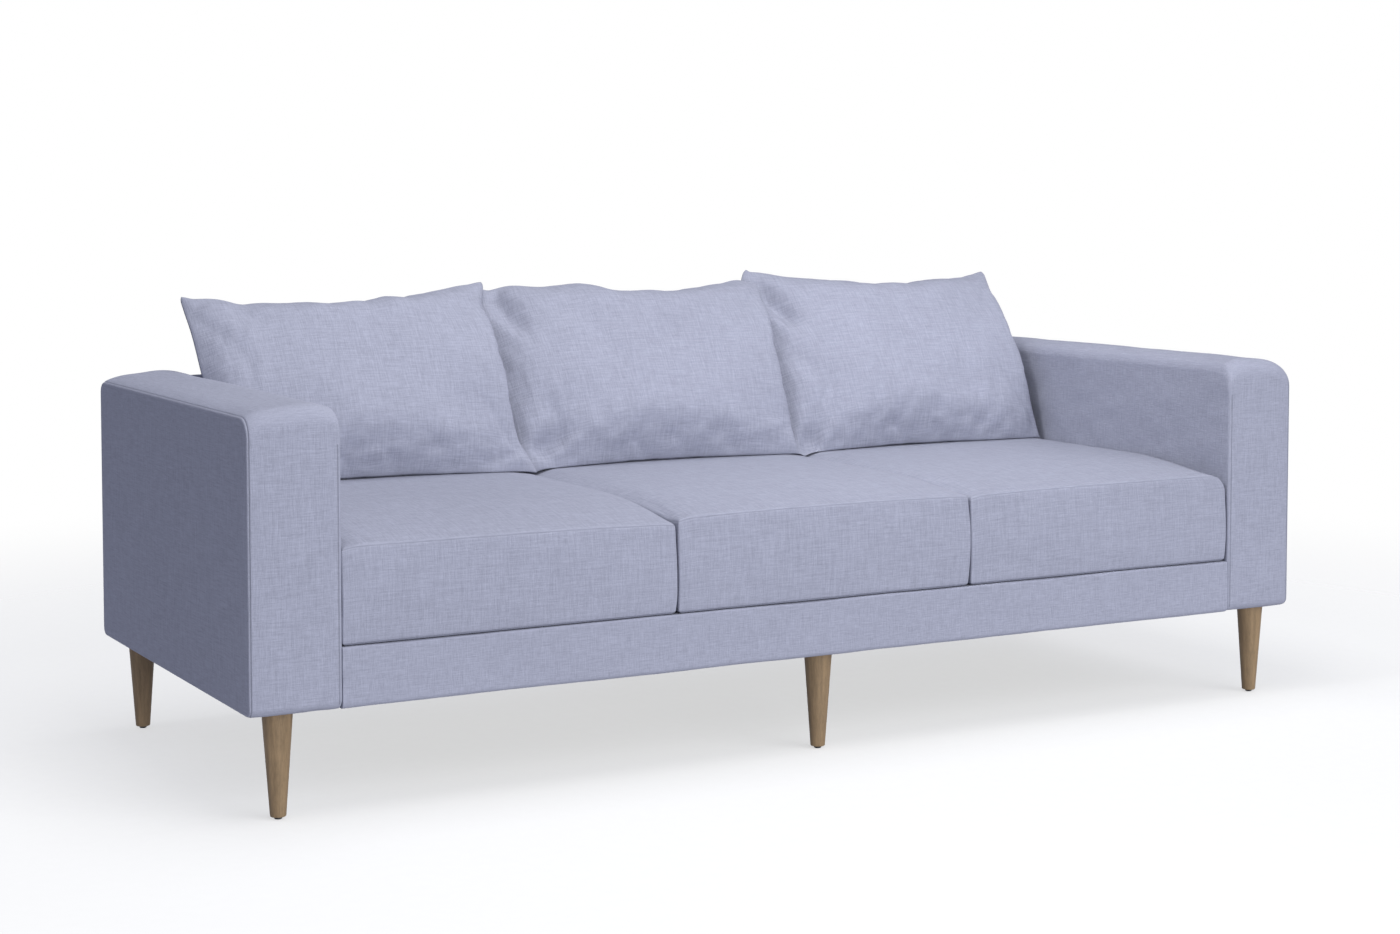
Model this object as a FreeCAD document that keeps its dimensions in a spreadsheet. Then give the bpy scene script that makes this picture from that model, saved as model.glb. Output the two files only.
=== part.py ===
"""Three-seat sofa with loose seat cushions and back pillows on turned wooden legs.

Millimetres. X runs along the sofa, the front faces -Y and Z is up. The origin is on the
floor under the middle of the sofa. Left is the -X end, as seen by someone facing it.

Two boxed arms and a back are bolted to a webbed seat base. Each is a wooden frame inside
foam inside a sewn cover. The cushions are covers over a foam core, the pillows are covers
over a filling, and both lift off.
"""

import FreeCAD, Part  # FreeCAD has to be imported before Part

import math
import os
import re

import Sketcher

Vector = FreeCAD.Vector
Rotation = FreeCAD.Rotation

SIZES = {
    # the whole sofa
    "overall_width": 2134,
    "overall_depth": 830,
    "arm_height": 643,  # floor to the seam along an arm's top
    "arm_width": 154,
    "arm_crown": 12,
    "back_height": 645,
    "back_thickness": 75,
    "leg_height": 173,  # floor to the underside of the arms and base
    "deck_height": 272,  # floor to the deck that the seat cushions lie on
    # what every upholstered piece shares
    "cover_thickness": 1.5,
    "soft_gap": 0.3,  # between a soft piece and what it lies in or on
    "slide_gap": 0.5,  # each side of a seat cushion
    "board_thickness": 25,
    # arms
    "panel_thickness": 3,
    "arm_outer_padding": 8,
    "arm_inner_padding": 12,
    "arm_top_padding": 16,
    "arm_top_radius": 20,
    "arm_foot_radius": 15,
    "arm_rail_height": 90,
    # seat base
    "rail_thickness": 50,
    "rail_padding": 10,
    "rail_radius": 10,
    "deck_padding": 6.5,
    "webbing_thickness": 2,
    "webbing_width": 60,
    "webbing_margin": 8,
    "stretcher_drop": 30,  # the stretchers' tops lie this far under the rails' tops
    # back
    "back_rear_padding": 5,
    "back_top_padding": 18,
    "back_rail_height": 60,
    "back_frame_depth": 45,
    "back_front_radius": 30,
    "back_rear_radius": 24,
    # seat cushions
    "cushion_setback": 5,
    "cushion_height": 190,
    "cushion_front_drop": 35,  # front edge of the top below the level part
    "cushion_rise_length": 295,  # front face to where the top is level
    "cushion_crown": 10,
    # back pillows
    "pillow_side_gap": 4,  # from each side of a pillow to the edge of its seat
    "pillow_length": 412,
    "pillow_front_bulge": 85,
    "pillow_back_bulge": 50,
    "pillow_edge": 12,
    "pillow_lean": 35,  # degrees from upright
    # legs
    "leg_inset_side": 59,
    "leg_inset_front": 42,
    "leg_top_radius": 25,
    "leg_foot_radius": 13,
    "leg_foot_chamfer": 1.5,
    "glide_radius": 6.5,
    "glide_height": 4,
    "glide_chamfer": 1,
    "nail_radius": 1.2,
    "nail_length": 16,
    # M8 fastenings
    "bolt_radius": 4,
    "bolt_clearance": 0.05,
    "bolt_reach": 22,  # leg bolt above the leg's top
    "bolt_grip": 36,  # leg bolt inside the leg
    "bolt_spare": 3,  # bolt past its nut, and hole past its bolt
    "head_radius": 8,
    "head_height": 5,
    "nut_radius": 6,
    "nut_length": 18,
    "bolt_setback": 150,  # arm bolts from the front and rear ends of a side rail
    "back_bolt_spacing": 600,
}
SEATS = {"left": -1, "centre": 0, "right": 1}
SIDES = {"left": -1, "right": 1}
BASE_WEBS = 9
CROSS_WEBS = 3
BACK_WEBS = 3
BACK_POSTS = 4

# Formulas on those sizes, each written once and used by every piece that meets there.
FRONT = "(-overall_depth / 2)"
BASE_HALF = "(overall_width / 2 - arm_width)"
BASE_WIDTH = "(overall_width - 2 * arm_width)"
BACK_FACE = "(overall_depth / 2 - back_thickness)"
FRAME_FLOOR = "(leg_height + cover_thickness)"
RAIL_TOP = "(deck_height - cover_thickness - deck_padding - 2 * webbing_thickness)"
RAIL_FRONT = "(-overall_depth / 2 + cover_thickness + rail_padding)"
RAIL_REAR = "(-overall_depth / 2 + cover_thickness + rail_padding + rail_thickness)"
SEAT_PITCH = "((overall_width - 2 * arm_width) / 3)"
BACK_FRAME_REAR = "(overall_depth / 2 - cover_thickness - back_rear_padding)"
BACK_FRAME_FRONT = (
    "(overall_depth / 2 - cover_thickness - back_rear_padding - back_frame_depth)"
)
BACK_FRAME_TOP = "(back_height - cover_thickness - back_top_padding)"
BACK_POST_FLOOR = "(leg_height + cover_thickness + back_rail_height)"
BOLT_BORE = "(bolt_radius + bolt_clearance)"
ARM_NUT_DEPTH = (
    "(board_thickness + cover_thickness + arm_inner_padding + panel_thickness)"
)
BACK_NUT_DEPTH = "(board_thickness + cover_thickness)"

TURNS = {  # which way a profile's two directions and its depth point
    "XZ": (Rotation(Vector(1, 0, 0), 90), Vector(0, 1, 0)),
    "YZ": (Rotation(Vector(1, 1, 1), 120), Vector(1, 0, 0)),
    "YX": (Rotation(Vector(1, 1, 0), 180), Vector(0, 0, 1)),
}
HEADINGS = {  # which way a turned piece's axis points
    "+X": Rotation(Vector(0, 1, 0), 90),
    "-X": Rotation(Vector(0, 1, 0), -90),
    "+Y": Rotation(Vector(1, 0, 0), -90),
    "+Z": Rotation(),
}

doc = FreeCAD.newDocument("sofa")
nodes = []


# ---------------------------------------------------------------- the sheet and bindings


def make_sheet():
    """Write every driving size in its own named cell."""
    sheet = doc.addObject("Spreadsheet::Sheet", "sizes")
    for row, (name, value) in enumerate(SIZES.items(), start=1):
        sheet.set(f"A{row}", name)
        sheet.set(f"B{row}", str(value))
        sheet.setAlias(f"B{row}", name)
    doc.recompute()


def refer(formula):
    """Point each size name of a formula at its cell of the sheet."""
    return re.sub(
        r"[a-z_]+",
        lambda word: f"sizes.{word.group()}" if word.group() in SIZES else word.group(),
        str(formula),
    )


def bind(thing, path, formula):
    thing.setExpression(path, refer(formula))


def put(thing, place, rotation=None):
    """Bind where a thing's own origin lies, after turning it if it is turned."""
    if rotation is not None:
        thing.Placement = FreeCAD.Placement(Vector(0, 0, 0), rotation)
    for axis, formula in zip("xyz", place):
        bind(thing, f"Placement.Base.{axis}", formula)
    return thing


def keep(thing):
    """Count a thing among the sofa's sub-parts, which are written out at the end."""
    nodes.append(thing)
    return thing


def beside(side, near, width):
    """Low X of a piece whose inward face is at near from the middle of the sofa."""
    return f"({near})" if side > 0 else f"(-({near}) - ({width}))"


def ahead(place, heading, distance):
    """The point that lies that far along a heading from place."""
    sign, axis = heading
    moved = dict(zip("XYZ", place))
    moved[axis] = f"({moved[axis]} {sign} {distance})"
    return tuple(moved.values())


# ---------------------------------------------------------------- plain shapes


def box(label, size, place):
    part = doc.addObject("Part::Box", label)
    for name, formula in zip(("Length", "Width", "Height"), size):
        bind(part, name, formula)
    return put(part, place)


def rod(label, radius, length, place, heading="+Z"):
    part = doc.addObject("Part::Cylinder", label)
    bind(part, "Radius", radius)
    bind(part, "Height", length)
    return put(part, place, HEADINGS[heading])


def cut(label, base, tool):
    part = doc.addObject("Part::Cut", label)
    part.Base, part.Tool = base, tool
    return part


def common(label, first, second):
    part = doc.addObject("Part::Common", label)
    part.Base, part.Tool = first, second
    return part


def group(label, parts):
    """Several separate solids under one name."""
    part = doc.addObject("Part::Compound", label)
    part.Links = parts
    return part


# ---------------------------------------------------------------- sketched shapes


def measure(sketch, kind, geometry, formula, start=5.0):
    """Add a dimension that follows the sheet."""
    index = sketch.addConstraint(Sketcher.Constraint(kind, *geometry, start))
    name = f"size_{index}"
    sketch.renameConstraint(index, name)
    bind(sketch, f"Constraints.{name}", formula)


def place_point(sketch, line, end, across, up):
    """Fix one end of a line by its distances from the sketch's own origin."""
    for kind, formula, axis in (("DistanceX", across, -2), ("DistanceY", up, -1)):
        if formula == "0":
            sketch.addConstraint(Sketcher.Constraint("PointOnObject", line, end, axis))
        else:
            measure(sketch, kind, (-1, 1, line, end), formula)


def prism(label, sketch, plane, length):
    """Extrude a profile that lies in one of the planes of TURNS."""
    rotation, direction = TURNS[plane]
    sketch.Placement = FreeCAD.Placement(Vector(0, 0, 0), rotation)
    part = doc.addObject("Part::Extrusion", label)
    part.Base, part.DirMode, part.Dir, part.Solid = sketch, "Custom", direction, True
    bind(part, "LengthFwd", length)
    return part


def rounded_profile(label, width, height, radii):
    """A rectangle on the origin. radii are those of its corners, anticlockwise from the
    bottom left, with None where the corner is sharp."""
    sketch = doc.addObject("Sketcher::SketchObject", label)
    rough_w, rough_h, rough_r = 400, 300, 20
    corners = [(0, 0), (rough_w, 0), (rough_w, rough_h), (0, rough_h)]
    steps = [(1, 0), (0, 1), (-1, 0), (0, -1)]
    for i, (step_x, step_y) in enumerate(steps):
        lead = rough_r if radii[i] else 0
        trail = rough_r if radii[(i + 1) % 4] else 0
        (x0, y0), (x1, y1) = corners[i], corners[(i + 1) % 4]
        start = Vector(x0 + step_x * lead, y0 + step_y * lead, 0)
        end = Vector(x1 - step_x * trail, y1 - step_y * trail, 0)
        sketch.addGeometry(Part.LineSegment(start, end))
        direction = "Vertical" if i % 2 else "Horizontal"
        sketch.addConstraint(Sketcher.Constraint(direction, i))
    inward = [(1, 1), (-1, 1), (-1, -1), (1, -1)]
    for i, radius in enumerate(radii):
        before = (i - 1) % 4
        if not radius:
            sketch.addConstraint(Sketcher.Constraint("Coincident", before, 2, i, 1))
            continue
        centre = Vector(
            corners[i][0] + inward[i][0] * rough_r,
            corners[i][1] + inward[i][1] * rough_r,
            0,
        )
        circle = Part.Circle(centre, Vector(0, 0, 1), rough_r)
        first = (i + 2) * math.pi / 2
        quarter = Part.ArcOfCircle(circle, first, first + math.pi / 2)
        arc = sketch.addGeometry(quarter)
        sketch.addConstraint(Sketcher.Constraint("Tangent", before, 2, arc, 1))
        sketch.addConstraint(Sketcher.Constraint("Tangent", arc, 2, i, 1))
        measure(sketch, "Radius", (arc,), radius, rough_r)
    sketch.addConstraint(Sketcher.Constraint("PointOnObject", 0, 1, -1))
    sketch.addConstraint(Sketcher.Constraint("PointOnObject", 3, 1, -2))
    measure(sketch, "DistanceX", (-1, 1, 1, 1), width, rough_w)
    measure(sketch, "DistanceY", (-1, 1, 2, 1), height, rough_h)
    return sketch


def arc_between(sketch, start, end, rise):
    """A rough arc from start anticlockwise to end, swelling rightwards of that way."""
    middle = (start + end) / 2
    along = (end - start).normalize()
    outward = Vector(along.y, -along.x, 0) * rise
    return sketch.addGeometry(Part.Arc(start, middle + outward, end))


def crowned_profile(label, width, height, crown):
    """A rectangle on the origin whose top is an arc that rises by crown."""
    sketch = doc.addObject("Sketcher::SketchObject", label)
    low_left, low_right = Vector(0, 0, 0), Vector(400, 0, 0)
    high_left, high_right = Vector(0, 300, 0), Vector(400, 300, 0)
    sketch.addGeometry(Part.LineSegment(high_left, low_left))
    sketch.addGeometry(Part.LineSegment(low_left, low_right))
    sketch.addGeometry(Part.LineSegment(low_right, high_right))
    top = arc_between(sketch, high_right, high_left, 20)
    for before, after in ((0, 1), (1, 2), (2, top), (top, 0)):
        sketch.addConstraint(Sketcher.Constraint("Coincident", before, 2, after, 1))
    place_point(sketch, 1, 1, "0", "0")
    place_point(sketch, 1, 2, width, "0")
    place_point(sketch, 2, 2, width, height)
    place_point(sketch, 0, 1, "0", height)
    radius = f"(({width}) ^ 2 / 4 + ({crown}) ^ 2) / (2 * ({crown}))"
    measure(sketch, "Radius", (top,), radius, 1000)
    return sketch


def rising_profile(label, depth, front, height, run):
    """A cushion from the side: its top rises from the front in an arc, then is level."""
    sketch = doc.addObject("Sketcher::SketchObject", label)
    front_low, rear_low = Vector(0, 0, 0), Vector(700, 0, 0)
    rear_high, level = Vector(700, 190, 0), Vector(300, 190, 0)
    front_high = Vector(0, 155, 0)
    sketch.addGeometry(Part.LineSegment(front_high, front_low))
    sketch.addGeometry(Part.LineSegment(front_low, rear_low))
    sketch.addGeometry(Part.LineSegment(rear_low, rear_high))
    sketch.addGeometry(Part.LineSegment(rear_high, level))
    rise = arc_between(sketch, level, front_high, 9)
    for before, after in ((0, 1), (1, 2), (2, 3), (rise, 0)):
        sketch.addConstraint(Sketcher.Constraint("Coincident", before, 2, after, 1))
    sketch.addConstraint(Sketcher.Constraint("Tangent", 3, 2, rise, 1))
    place_point(sketch, 1, 1, "0", "0")
    place_point(sketch, 1, 2, depth, "0")
    place_point(sketch, 3, 1, depth, height)
    place_point(sketch, 3, 2, run, height)
    place_point(sketch, 0, 1, "0", front)
    return sketch


def bulge_radius(chord, rise):
    return f"((({chord}) / 2) ^ 2 + ({rise}) ^ 2) / (2 * ({rise}))"


def lens_profile(label, chord, edge, front, back):
    """A pillow in section: edge thick at both ends of its chord, which runs up from the
    origin's level, and swelling by front to the left and back to the right of it."""
    sketch = doc.addObject("Sketcher::SketchObject", label)
    low_front, low_back = Vector(79, 0, 0), Vector(91, 0, 0)
    high_front, high_back = Vector(79, 412, 0), Vector(91, 412, 0)
    sketch.addGeometry(Part.LineSegment(low_front, low_back))
    sketch.addGeometry(Part.LineSegment(high_back, high_front))
    back_arc = arc_between(sketch, low_back, high_back, 44)
    front_arc = arc_between(sketch, high_front, low_front, 79)
    for before, after in ((0, back_arc), (back_arc, 1), (1, front_arc), (front_arc, 0)):
        sketch.addConstraint(Sketcher.Constraint("Coincident", before, 2, after, 1))
    near, far = f"(({front}) - ({edge}) / 2)", f"(({front}) + ({edge}) / 2)"
    place_point(sketch, 0, 1, near, "0")
    place_point(sketch, 0, 2, far, "0")
    place_point(sketch, 1, 1, far, chord)
    place_point(sketch, 1, 2, near, chord)
    for arc, bulge in ((back_arc, back), (front_arc, front)):
        swell = f"(({bulge}) - ({edge}) / 2)"
        measure(sketch, "Radius", (arc,), bulge_radius(chord, swell), 500)
    return sketch


def turned(label, outline, place, heading="+Z"):
    """A piece turned about its own Z axis, from the (radius, height) corners of half its
    section."""
    body = doc.addObject("PartDesign::Body", label)
    sketch = body.newObject("Sketcher::SketchObject", f"{label}_outline")
    plane = next(f for f in body.Origin.OriginFeatures if f.Role == "XZ_Plane")
    sketch.AttachmentSupport, sketch.MapMode = [(plane, "")], "FlatFace"
    count = len(outline)
    rough = [Vector(9 + 5 * (i % 3), 7 * (i + 1), 0) for i in range(count)]
    for i in range(count):
        sketch.addGeometry(Part.LineSegment(rough[i], rough[(i + 1) % count]))
    for i, (radius, height) in enumerate(outline):
        joined = Sketcher.Constraint("Coincident", (i - 1) % count, 2, i, 1)
        sketch.addConstraint(joined)
        place_point(sketch, i, 1, radius, height)
    revolution = body.newObject("PartDesign::Revolution", f"{label}_turning")
    revolution.Profile = sketch
    revolution.ReferenceAxis = (sketch, ["V_Axis"])
    revolution.Angle = 360
    body.Tip = revolution
    return put(body, place, HEADINGS[heading])


# ---------------------------------------------------------------- legs and fastenings


def leg_places():
    side = "(overall_width / 2 - leg_inset_side)"
    front = "(-overall_depth / 2 + leg_inset_front)"
    rear = "(overall_depth / 2 - leg_inset_front)"
    return {
        f"leg_{row}_{end}": (x, y)
        for row, y in (("front", front), ("rear", rear))
        for end, x in (("left", f"-{side}"), ("centre", "0"), ("right", side))
    }


def make_legs():
    """Six tapered legs, each with a nailed glide below and a hanger bolt above."""
    length = "(leg_height - glide_height)"
    outline = [
        ("(nail_radius + bolt_clearance)", "0"),
        ("(leg_foot_radius - leg_foot_chamfer)", "0"),
        ("leg_foot_radius", "leg_foot_chamfer"),
        ("leg_top_radius", length),
        (BOLT_BORE, length),
        (BOLT_BORE, f"({length} - bolt_grip - bolt_spare)"),
        ("0", f"({length} - bolt_grip - bolt_spare)"),
        ("0", "(nail_length + bolt_spare)"),
        ("(nail_radius + bolt_clearance)", "(nail_length + bolt_spare)"),
    ]
    glide = [
        ("0", "0"),
        ("(glide_radius - glide_chamfer)", "0"),
        ("glide_radius", "glide_chamfer"),
        ("glide_radius", "glide_height"),
        ("nail_radius", "glide_height"),
        ("nail_radius", "(glide_height + nail_length)"),
        ("0", "(glide_height + nail_length)"),
    ]
    glides, bolts = [], []
    for name, (x, y) in leg_places().items():
        keep(turned(name, outline, (x, y, "glide_height")))
        glides.append(turned(f"glide_of_{name}", glide, (x, y, "0")))
        length_of_bolt = "(bolt_grip + bolt_reach)"
        low_end = (x, y, "(leg_height - bolt_grip)")
        bolts.append(rod(f"bolt_of_{name}", "bolt_radius", length_of_bolt, low_end))
    keep(group("leg_glides", glides))
    keep(group("leg_bolts", bolts))


def leg_hole(name):
    """What a leg's bolt and its nut take out of the frame above."""
    x, y = leg_places()[name]
    above = "(bolt_reach + bolt_spare)"
    bore = rod(f"bore_for_{name}", BOLT_BORE, above, (x, y, "leg_height"))
    seat = nut_hole(f"seat_for_{name}", (x, y, FRAME_FLOOR), "+Z")
    return group(f"hole_for_{name}", [bore, seat])


def nut_hole(label, place, heading):
    return rod(label, "(nut_radius + bolt_clearance)", "nut_length", place, heading)


def arm_bolt_places(name):
    """Each bolt's heading, and where it leaves the inner face of the seat's side rail."""
    side = SIDES[name]
    heading = "+X" if side > 0 else "-X"
    face = f"({side} * ({BASE_HALF} - board_thickness))"
    middle = f"(({FRAME_FLOOR} + {RAIL_TOP}) / 2)"
    rows = (f"({RAIL_REAR} + bolt_setback)", f"({BACK_FACE} - bolt_setback)")
    return [(heading, (face, y, middle)) for y in rows]


def back_bolt_places():
    """Each bolt's heading, and where it leaves the front face of the seat's rear rail."""
    face = f"({BACK_FACE} - board_thickness)"
    middle = f"({FRAME_FLOOR} + back_rail_height / 2)"
    return [("+Y", (f"({i} * back_bolt_spacing)", face, middle)) for i in (-1, 0, 1)]


def frame_bolt(label, depth, place, heading):
    """A bolt whose head bears on place and whose nut starts depth further on."""
    end = f"({depth} + nut_length + bolt_spare)"
    outline = [
        ("0", "-head_height"),
        ("head_radius", "-head_height"),
        ("head_radius", "0"),
        ("bolt_radius", "0"),
        ("bolt_radius", end),
        ("0", end),
    ]
    return turned(label, outline, place, heading)


def insert_nut(label, place, heading):
    outline = [
        (BOLT_BORE, "0"),
        ("nut_radius", "0"),
        ("nut_radius", "nut_length"),
        (BOLT_BORE, "nut_length"),
    ]
    return turned(label, outline, place, heading)


def make_fastenings():
    """The bolts that pull the arms and the back to the seat base, and every nut."""
    arm_places = arm_bolt_places("left") + arm_bolt_places("right")
    joints = [(ARM_NUT_DEPTH, place) for place in arm_places]
    joints += [(BACK_NUT_DEPTH, place) for place in back_bolt_places()]
    bolts, nuts = [], []
    for i, (depth, (heading, place)) in enumerate(joints):
        bolts.append(frame_bolt(f"frame_bolt_{i}", depth, place, heading))
        nuts.append(insert_nut(f"frame_nut_{i}", ahead(place, heading, depth), heading))
    for name, (x, y) in leg_places().items():
        nuts.append(insert_nut(f"nut_for_{name}", (x, y, FRAME_FLOOR), "+Z"))
    keep(group("frame_bolts", bolts))
    keep(group("insert_nuts", nuts))


def bolt_holes(label, places, depth):
    """What a row of bolts and their nuts take out of the pieces they hold together."""
    tools = []
    for i, (heading, place) in enumerate(places):
        end = f"({depth} + nut_length + 2 * bolt_spare)"
        tools.append(rod(f"{label}_bore_{i}", BOLT_BORE, end, place, heading))
        seat = ahead(place, heading, depth)
        tools.append(nut_hole(f"{label}_seat_{i}", seat, heading))
    return group(label, tools)


# ---------------------------------------------------------------- arms


def arm_block(label, side, inset):
    """An arm's outer form, drawn in by inset all round."""
    width = f"(arm_width - 2 * ({inset}))"
    depth = f"(overall_depth - 2 * ({inset}))"
    height = f"(arm_height - leg_height - 2 * ({inset}))"
    foot, top = f"(arm_foot_radius - ({inset}))", f"(arm_top_radius - ({inset}))"
    across = crowned_profile(f"{label}_across", width, height, "arm_crown")
    along = rounded_profile(
        f"{label}_along", depth, f"({height} + arm_crown)", (foot, foot, top, top)
    )
    block = common(
        label,
        prism(f"{label}_crowned", across, "XZ", depth),
        prism(f"{label}_rounded", along, "YZ", width),
    )
    near = f"({BASE_HALF} + ({inset}))"
    place = (beside(side, near, width), f"({FRONT} + ({inset}))", f"(leg_height + ({inset}))")
    return put(block, place)


def make_arm(name, side, bolts):
    """One boxed arm: boards and panels inside foam inside a sewn cover. The boards end
    where the rounding of the arm's foot begins."""
    core_near = f"({BASE_HALF} + cover_thickness + arm_inner_padding)"
    core_width = "(arm_width - 2 * cover_thickness - arm_inner_padding - arm_outer_padding)"
    core_front = f"({FRONT} + cover_thickness + arm_foot_radius)"
    core_depth = "(overall_depth - 2 * cover_thickness - 2 * arm_foot_radius)"
    core_height = f"(arm_height - cover_thickness - arm_top_padding - {FRAME_FLOOR})"
    legs = group(
        f"leg_holes_{name}", [leg_hole(f"leg_{row}_{name}") for row in ("front", "rear")]
    )

    board_near = f"({core_near} + panel_thickness)"
    board_width = f"({core_width} - 2 * panel_thickness)"
    board_x = beside(side, board_near, board_width)
    make_arm_boards(name, (board_x, core_front), (board_width, core_depth), core_height, legs)
    rail = box(
        f"arm_rail_blank_{name}",
        ("board_thickness", f"({core_depth} - 2 * board_thickness)", "arm_rail_height"),
        (
            beside(side, board_near, "board_thickness"),
            f"({core_front} + board_thickness)",
            f"({FRAME_FLOOR} + board_thickness)",
        ),
    )
    keep(cut(f"arm_base_rail_{name}", rail, bolts))

    panel = ("panel_thickness", core_depth, core_height)
    inner_x = beside(side, core_near, "panel_thickness")
    inner = box(f"arm_inner_blank_{name}", panel, (inner_x, core_front, FRAME_FLOOR))
    keep(cut(f"arm_inner_panel_{name}", inner, bolts))
    outer_x = beside(side, f"({board_near} + {board_width})", "panel_thickness")
    keep(box(f"arm_outer_panel_{name}", panel, (outer_x, core_front, FRAME_FLOOR)))

    core = box(
        f"arm_core_space_{name}",
        (core_width, core_depth, f"({core_height} + cover_thickness)"),
        (beside(side, core_near, core_width), core_front, "leg_height"),
    )
    foam = arm_block(f"arm_foam_blank_{name}", side, "cover_thickness + soft_gap")
    foam = cut(f"arm_foam_hollow_{name}", foam, core)
    keep(cut(f"arm_foam_{name}", foam, bolts))
    cover = cut(
        f"arm_cover_shell_{name}",
        arm_block(f"arm_cover_blank_{name}", side, "0"),
        arm_block(f"arm_cover_space_{name}", side, "cover_thickness"),
    )
    holes = group(f"arm_cover_holes_{name}", [bolts, legs])
    keep(cut(f"arm_cover_{name}", cover, holes))


def make_arm_boards(name, corner, plan, height, leg_holes):
    """The ring of four boards an arm is built round. corner and plan are the low corner
    and the size of its plan."""
    (x, y), (width, depth) = corner, plan
    lying = (width, depth, "board_thickness")
    bottom = box(f"arm_bottom_blank_{name}", lying, (x, y, FRAME_FLOOR))
    keep(cut(f"arm_bottom_board_{name}", bottom, leg_holes))
    standing = (width, "board_thickness", f"({height} - 2 * board_thickness)")
    floor = f"({FRAME_FLOOR} + board_thickness)"
    keep(box(f"arm_front_board_{name}", standing, (x, y, floor)))
    rear_y = f"({y} + {depth} - board_thickness)"
    keep(box(f"arm_rear_board_{name}", standing, (x, rear_y, floor)))
    top_z = f"({FRAME_FLOOR} + {height} - board_thickness)"
    keep(box(f"arm_top_board_{name}", lying, (x, y, top_z)))


# ---------------------------------------------------------------- seat base


def make_seat_frame(arm_bolts, back_bolts, front_leg):
    """Rails on all four sides between the arms, and two stretchers."""
    left = f"(-{BASE_HALF})"
    height = f"({RAIL_TOP} - {FRAME_FLOOR})"
    front = box(
        "front_rail_blank",
        (BASE_WIDTH, "rail_thickness", height),
        (left, RAIL_FRONT, FRAME_FLOOR),
    )
    keep(cut("seat_front_rail", front, front_leg))
    rear = box(
        "rear_rail_blank",
        (BASE_WIDTH, "board_thickness", height),
        (left, f"({BACK_FACE} - board_thickness)", FRAME_FLOOR),
    )
    keep(cut("seat_rear_rail", rear, back_bolts))

    depth = f"({BACK_FACE} - {RAIL_REAR} - board_thickness)"
    for name, side in SIDES.items():
        x = beside(side, f"({BASE_HALF} - board_thickness)", "board_thickness")
        size = ("board_thickness", depth, height)
        rail = box(f"side_rail_blank_{name}", size, (x, RAIL_REAR, FRAME_FLOOR))
        keep(cut(f"seat_side_rail_{name}", rail, arm_bolts[name]))
        x = f"({side} * {SEAT_PITCH} / 2 - board_thickness / 2)"
        size = ("board_thickness", depth, f"({height} - stretcher_drop)")
        keep(box(f"seat_stretcher_{name}", size, (x, RAIL_REAR, FRAME_FLOOR)))


def make_deck():
    """What the seat cushions lie on, and the dust cover under the frame."""
    left = f"(-{BASE_HALF})"
    plan = (BASE_WIDTH, f"({BACK_FACE} - {RAIL_REAR})")
    make_seat_webbing(left)
    layers = [
        ("seat_deck_pad", "deck_padding", f"({RAIL_TOP} + 2 * webbing_thickness)"),
        ("seat_deck_cloth", "cover_thickness", "(deck_height - cover_thickness)"),
        ("dust_cover", "cover_thickness", "leg_height"),
    ]
    for label, thickness, floor in layers:
        keep(box(label, (*plan, thickness), (left, RAIL_REAR, floor)))


def make_seat_webbing(left):
    """Straps from the front rail to the rear rail, and others across them."""
    straps = []
    length = f"({BACK_FACE} - {RAIL_FRONT} - 2 * webbing_margin)"
    for i in range(BASE_WEBS):
        middle = f"({BASE_WIDTH} * {i - (BASE_WEBS - 1) / 2} / {BASE_WEBS})"
        straps.append(
            box(
                f"seat_strap_{i}",
                ("webbing_width", length, "webbing_thickness"),
                (f"({middle} - webbing_width / 2)", f"({RAIL_FRONT} + webbing_margin)", RAIL_TOP),
            )
        )
    room = f"({BACK_FACE} - {RAIL_REAR})"
    for i in range(CROSS_WEBS):
        middle = f"({RAIL_REAR} + {room} * {i + 1} / {CROSS_WEBS + 1})"
        straps.append(
            box(
                f"cross_strap_{i}",
                (f"({BASE_WIDTH} - 2 * webbing_margin)", "webbing_width", "webbing_thickness"),
                (
                    f"({left} + webbing_margin)",
                    f"({middle} - webbing_width / 2)",
                    f"({RAIL_TOP} + webbing_thickness)",
                ),
            )
        )
    keep(group("seat_webbing", straps))


def rail_block(label, inset):
    """The front rail's outer form, drawn in by inset at the front, top and bottom."""
    depth = f"({RAIL_REAR} - {FRONT} - ({inset}))"
    height = f"(deck_height - leg_height - 2 * ({inset}))"
    radius = f"(rail_radius - ({inset}))"
    profile = rounded_profile(f"{label}_profile", depth, height, (radius, None, None, radius))
    block = prism(label, profile, "YZ", BASE_WIDTH)
    place = (f"(-{BASE_HALF})", f"({FRONT} + ({inset}))", f"(leg_height + ({inset}))")
    return put(block, place)


def make_front_rail_upholstery(front_leg):
    """Foam and cover round the front rail, open at the rear."""
    rail_room = box(
        "front_rail_room",
        (BASE_WIDTH, "rail_thickness", f"({RAIL_TOP} + webbing_thickness - leg_height)"),
        (f"(-{BASE_HALF})", RAIL_FRONT, "leg_height"),
    )
    pad = rail_block("front_rail_pad_blank", "cover_thickness + soft_gap")
    keep(cut("front_rail_pad", pad, rail_room))
    cover = cut(
        "front_rail_cover_shell",
        rail_block("front_rail_cover_blank", "0"),
        rail_block("front_rail_cover_space", "cover_thickness"),
    )
    keep(cut("front_rail_cover", cover, front_leg))


# ---------------------------------------------------------------- back


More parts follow.
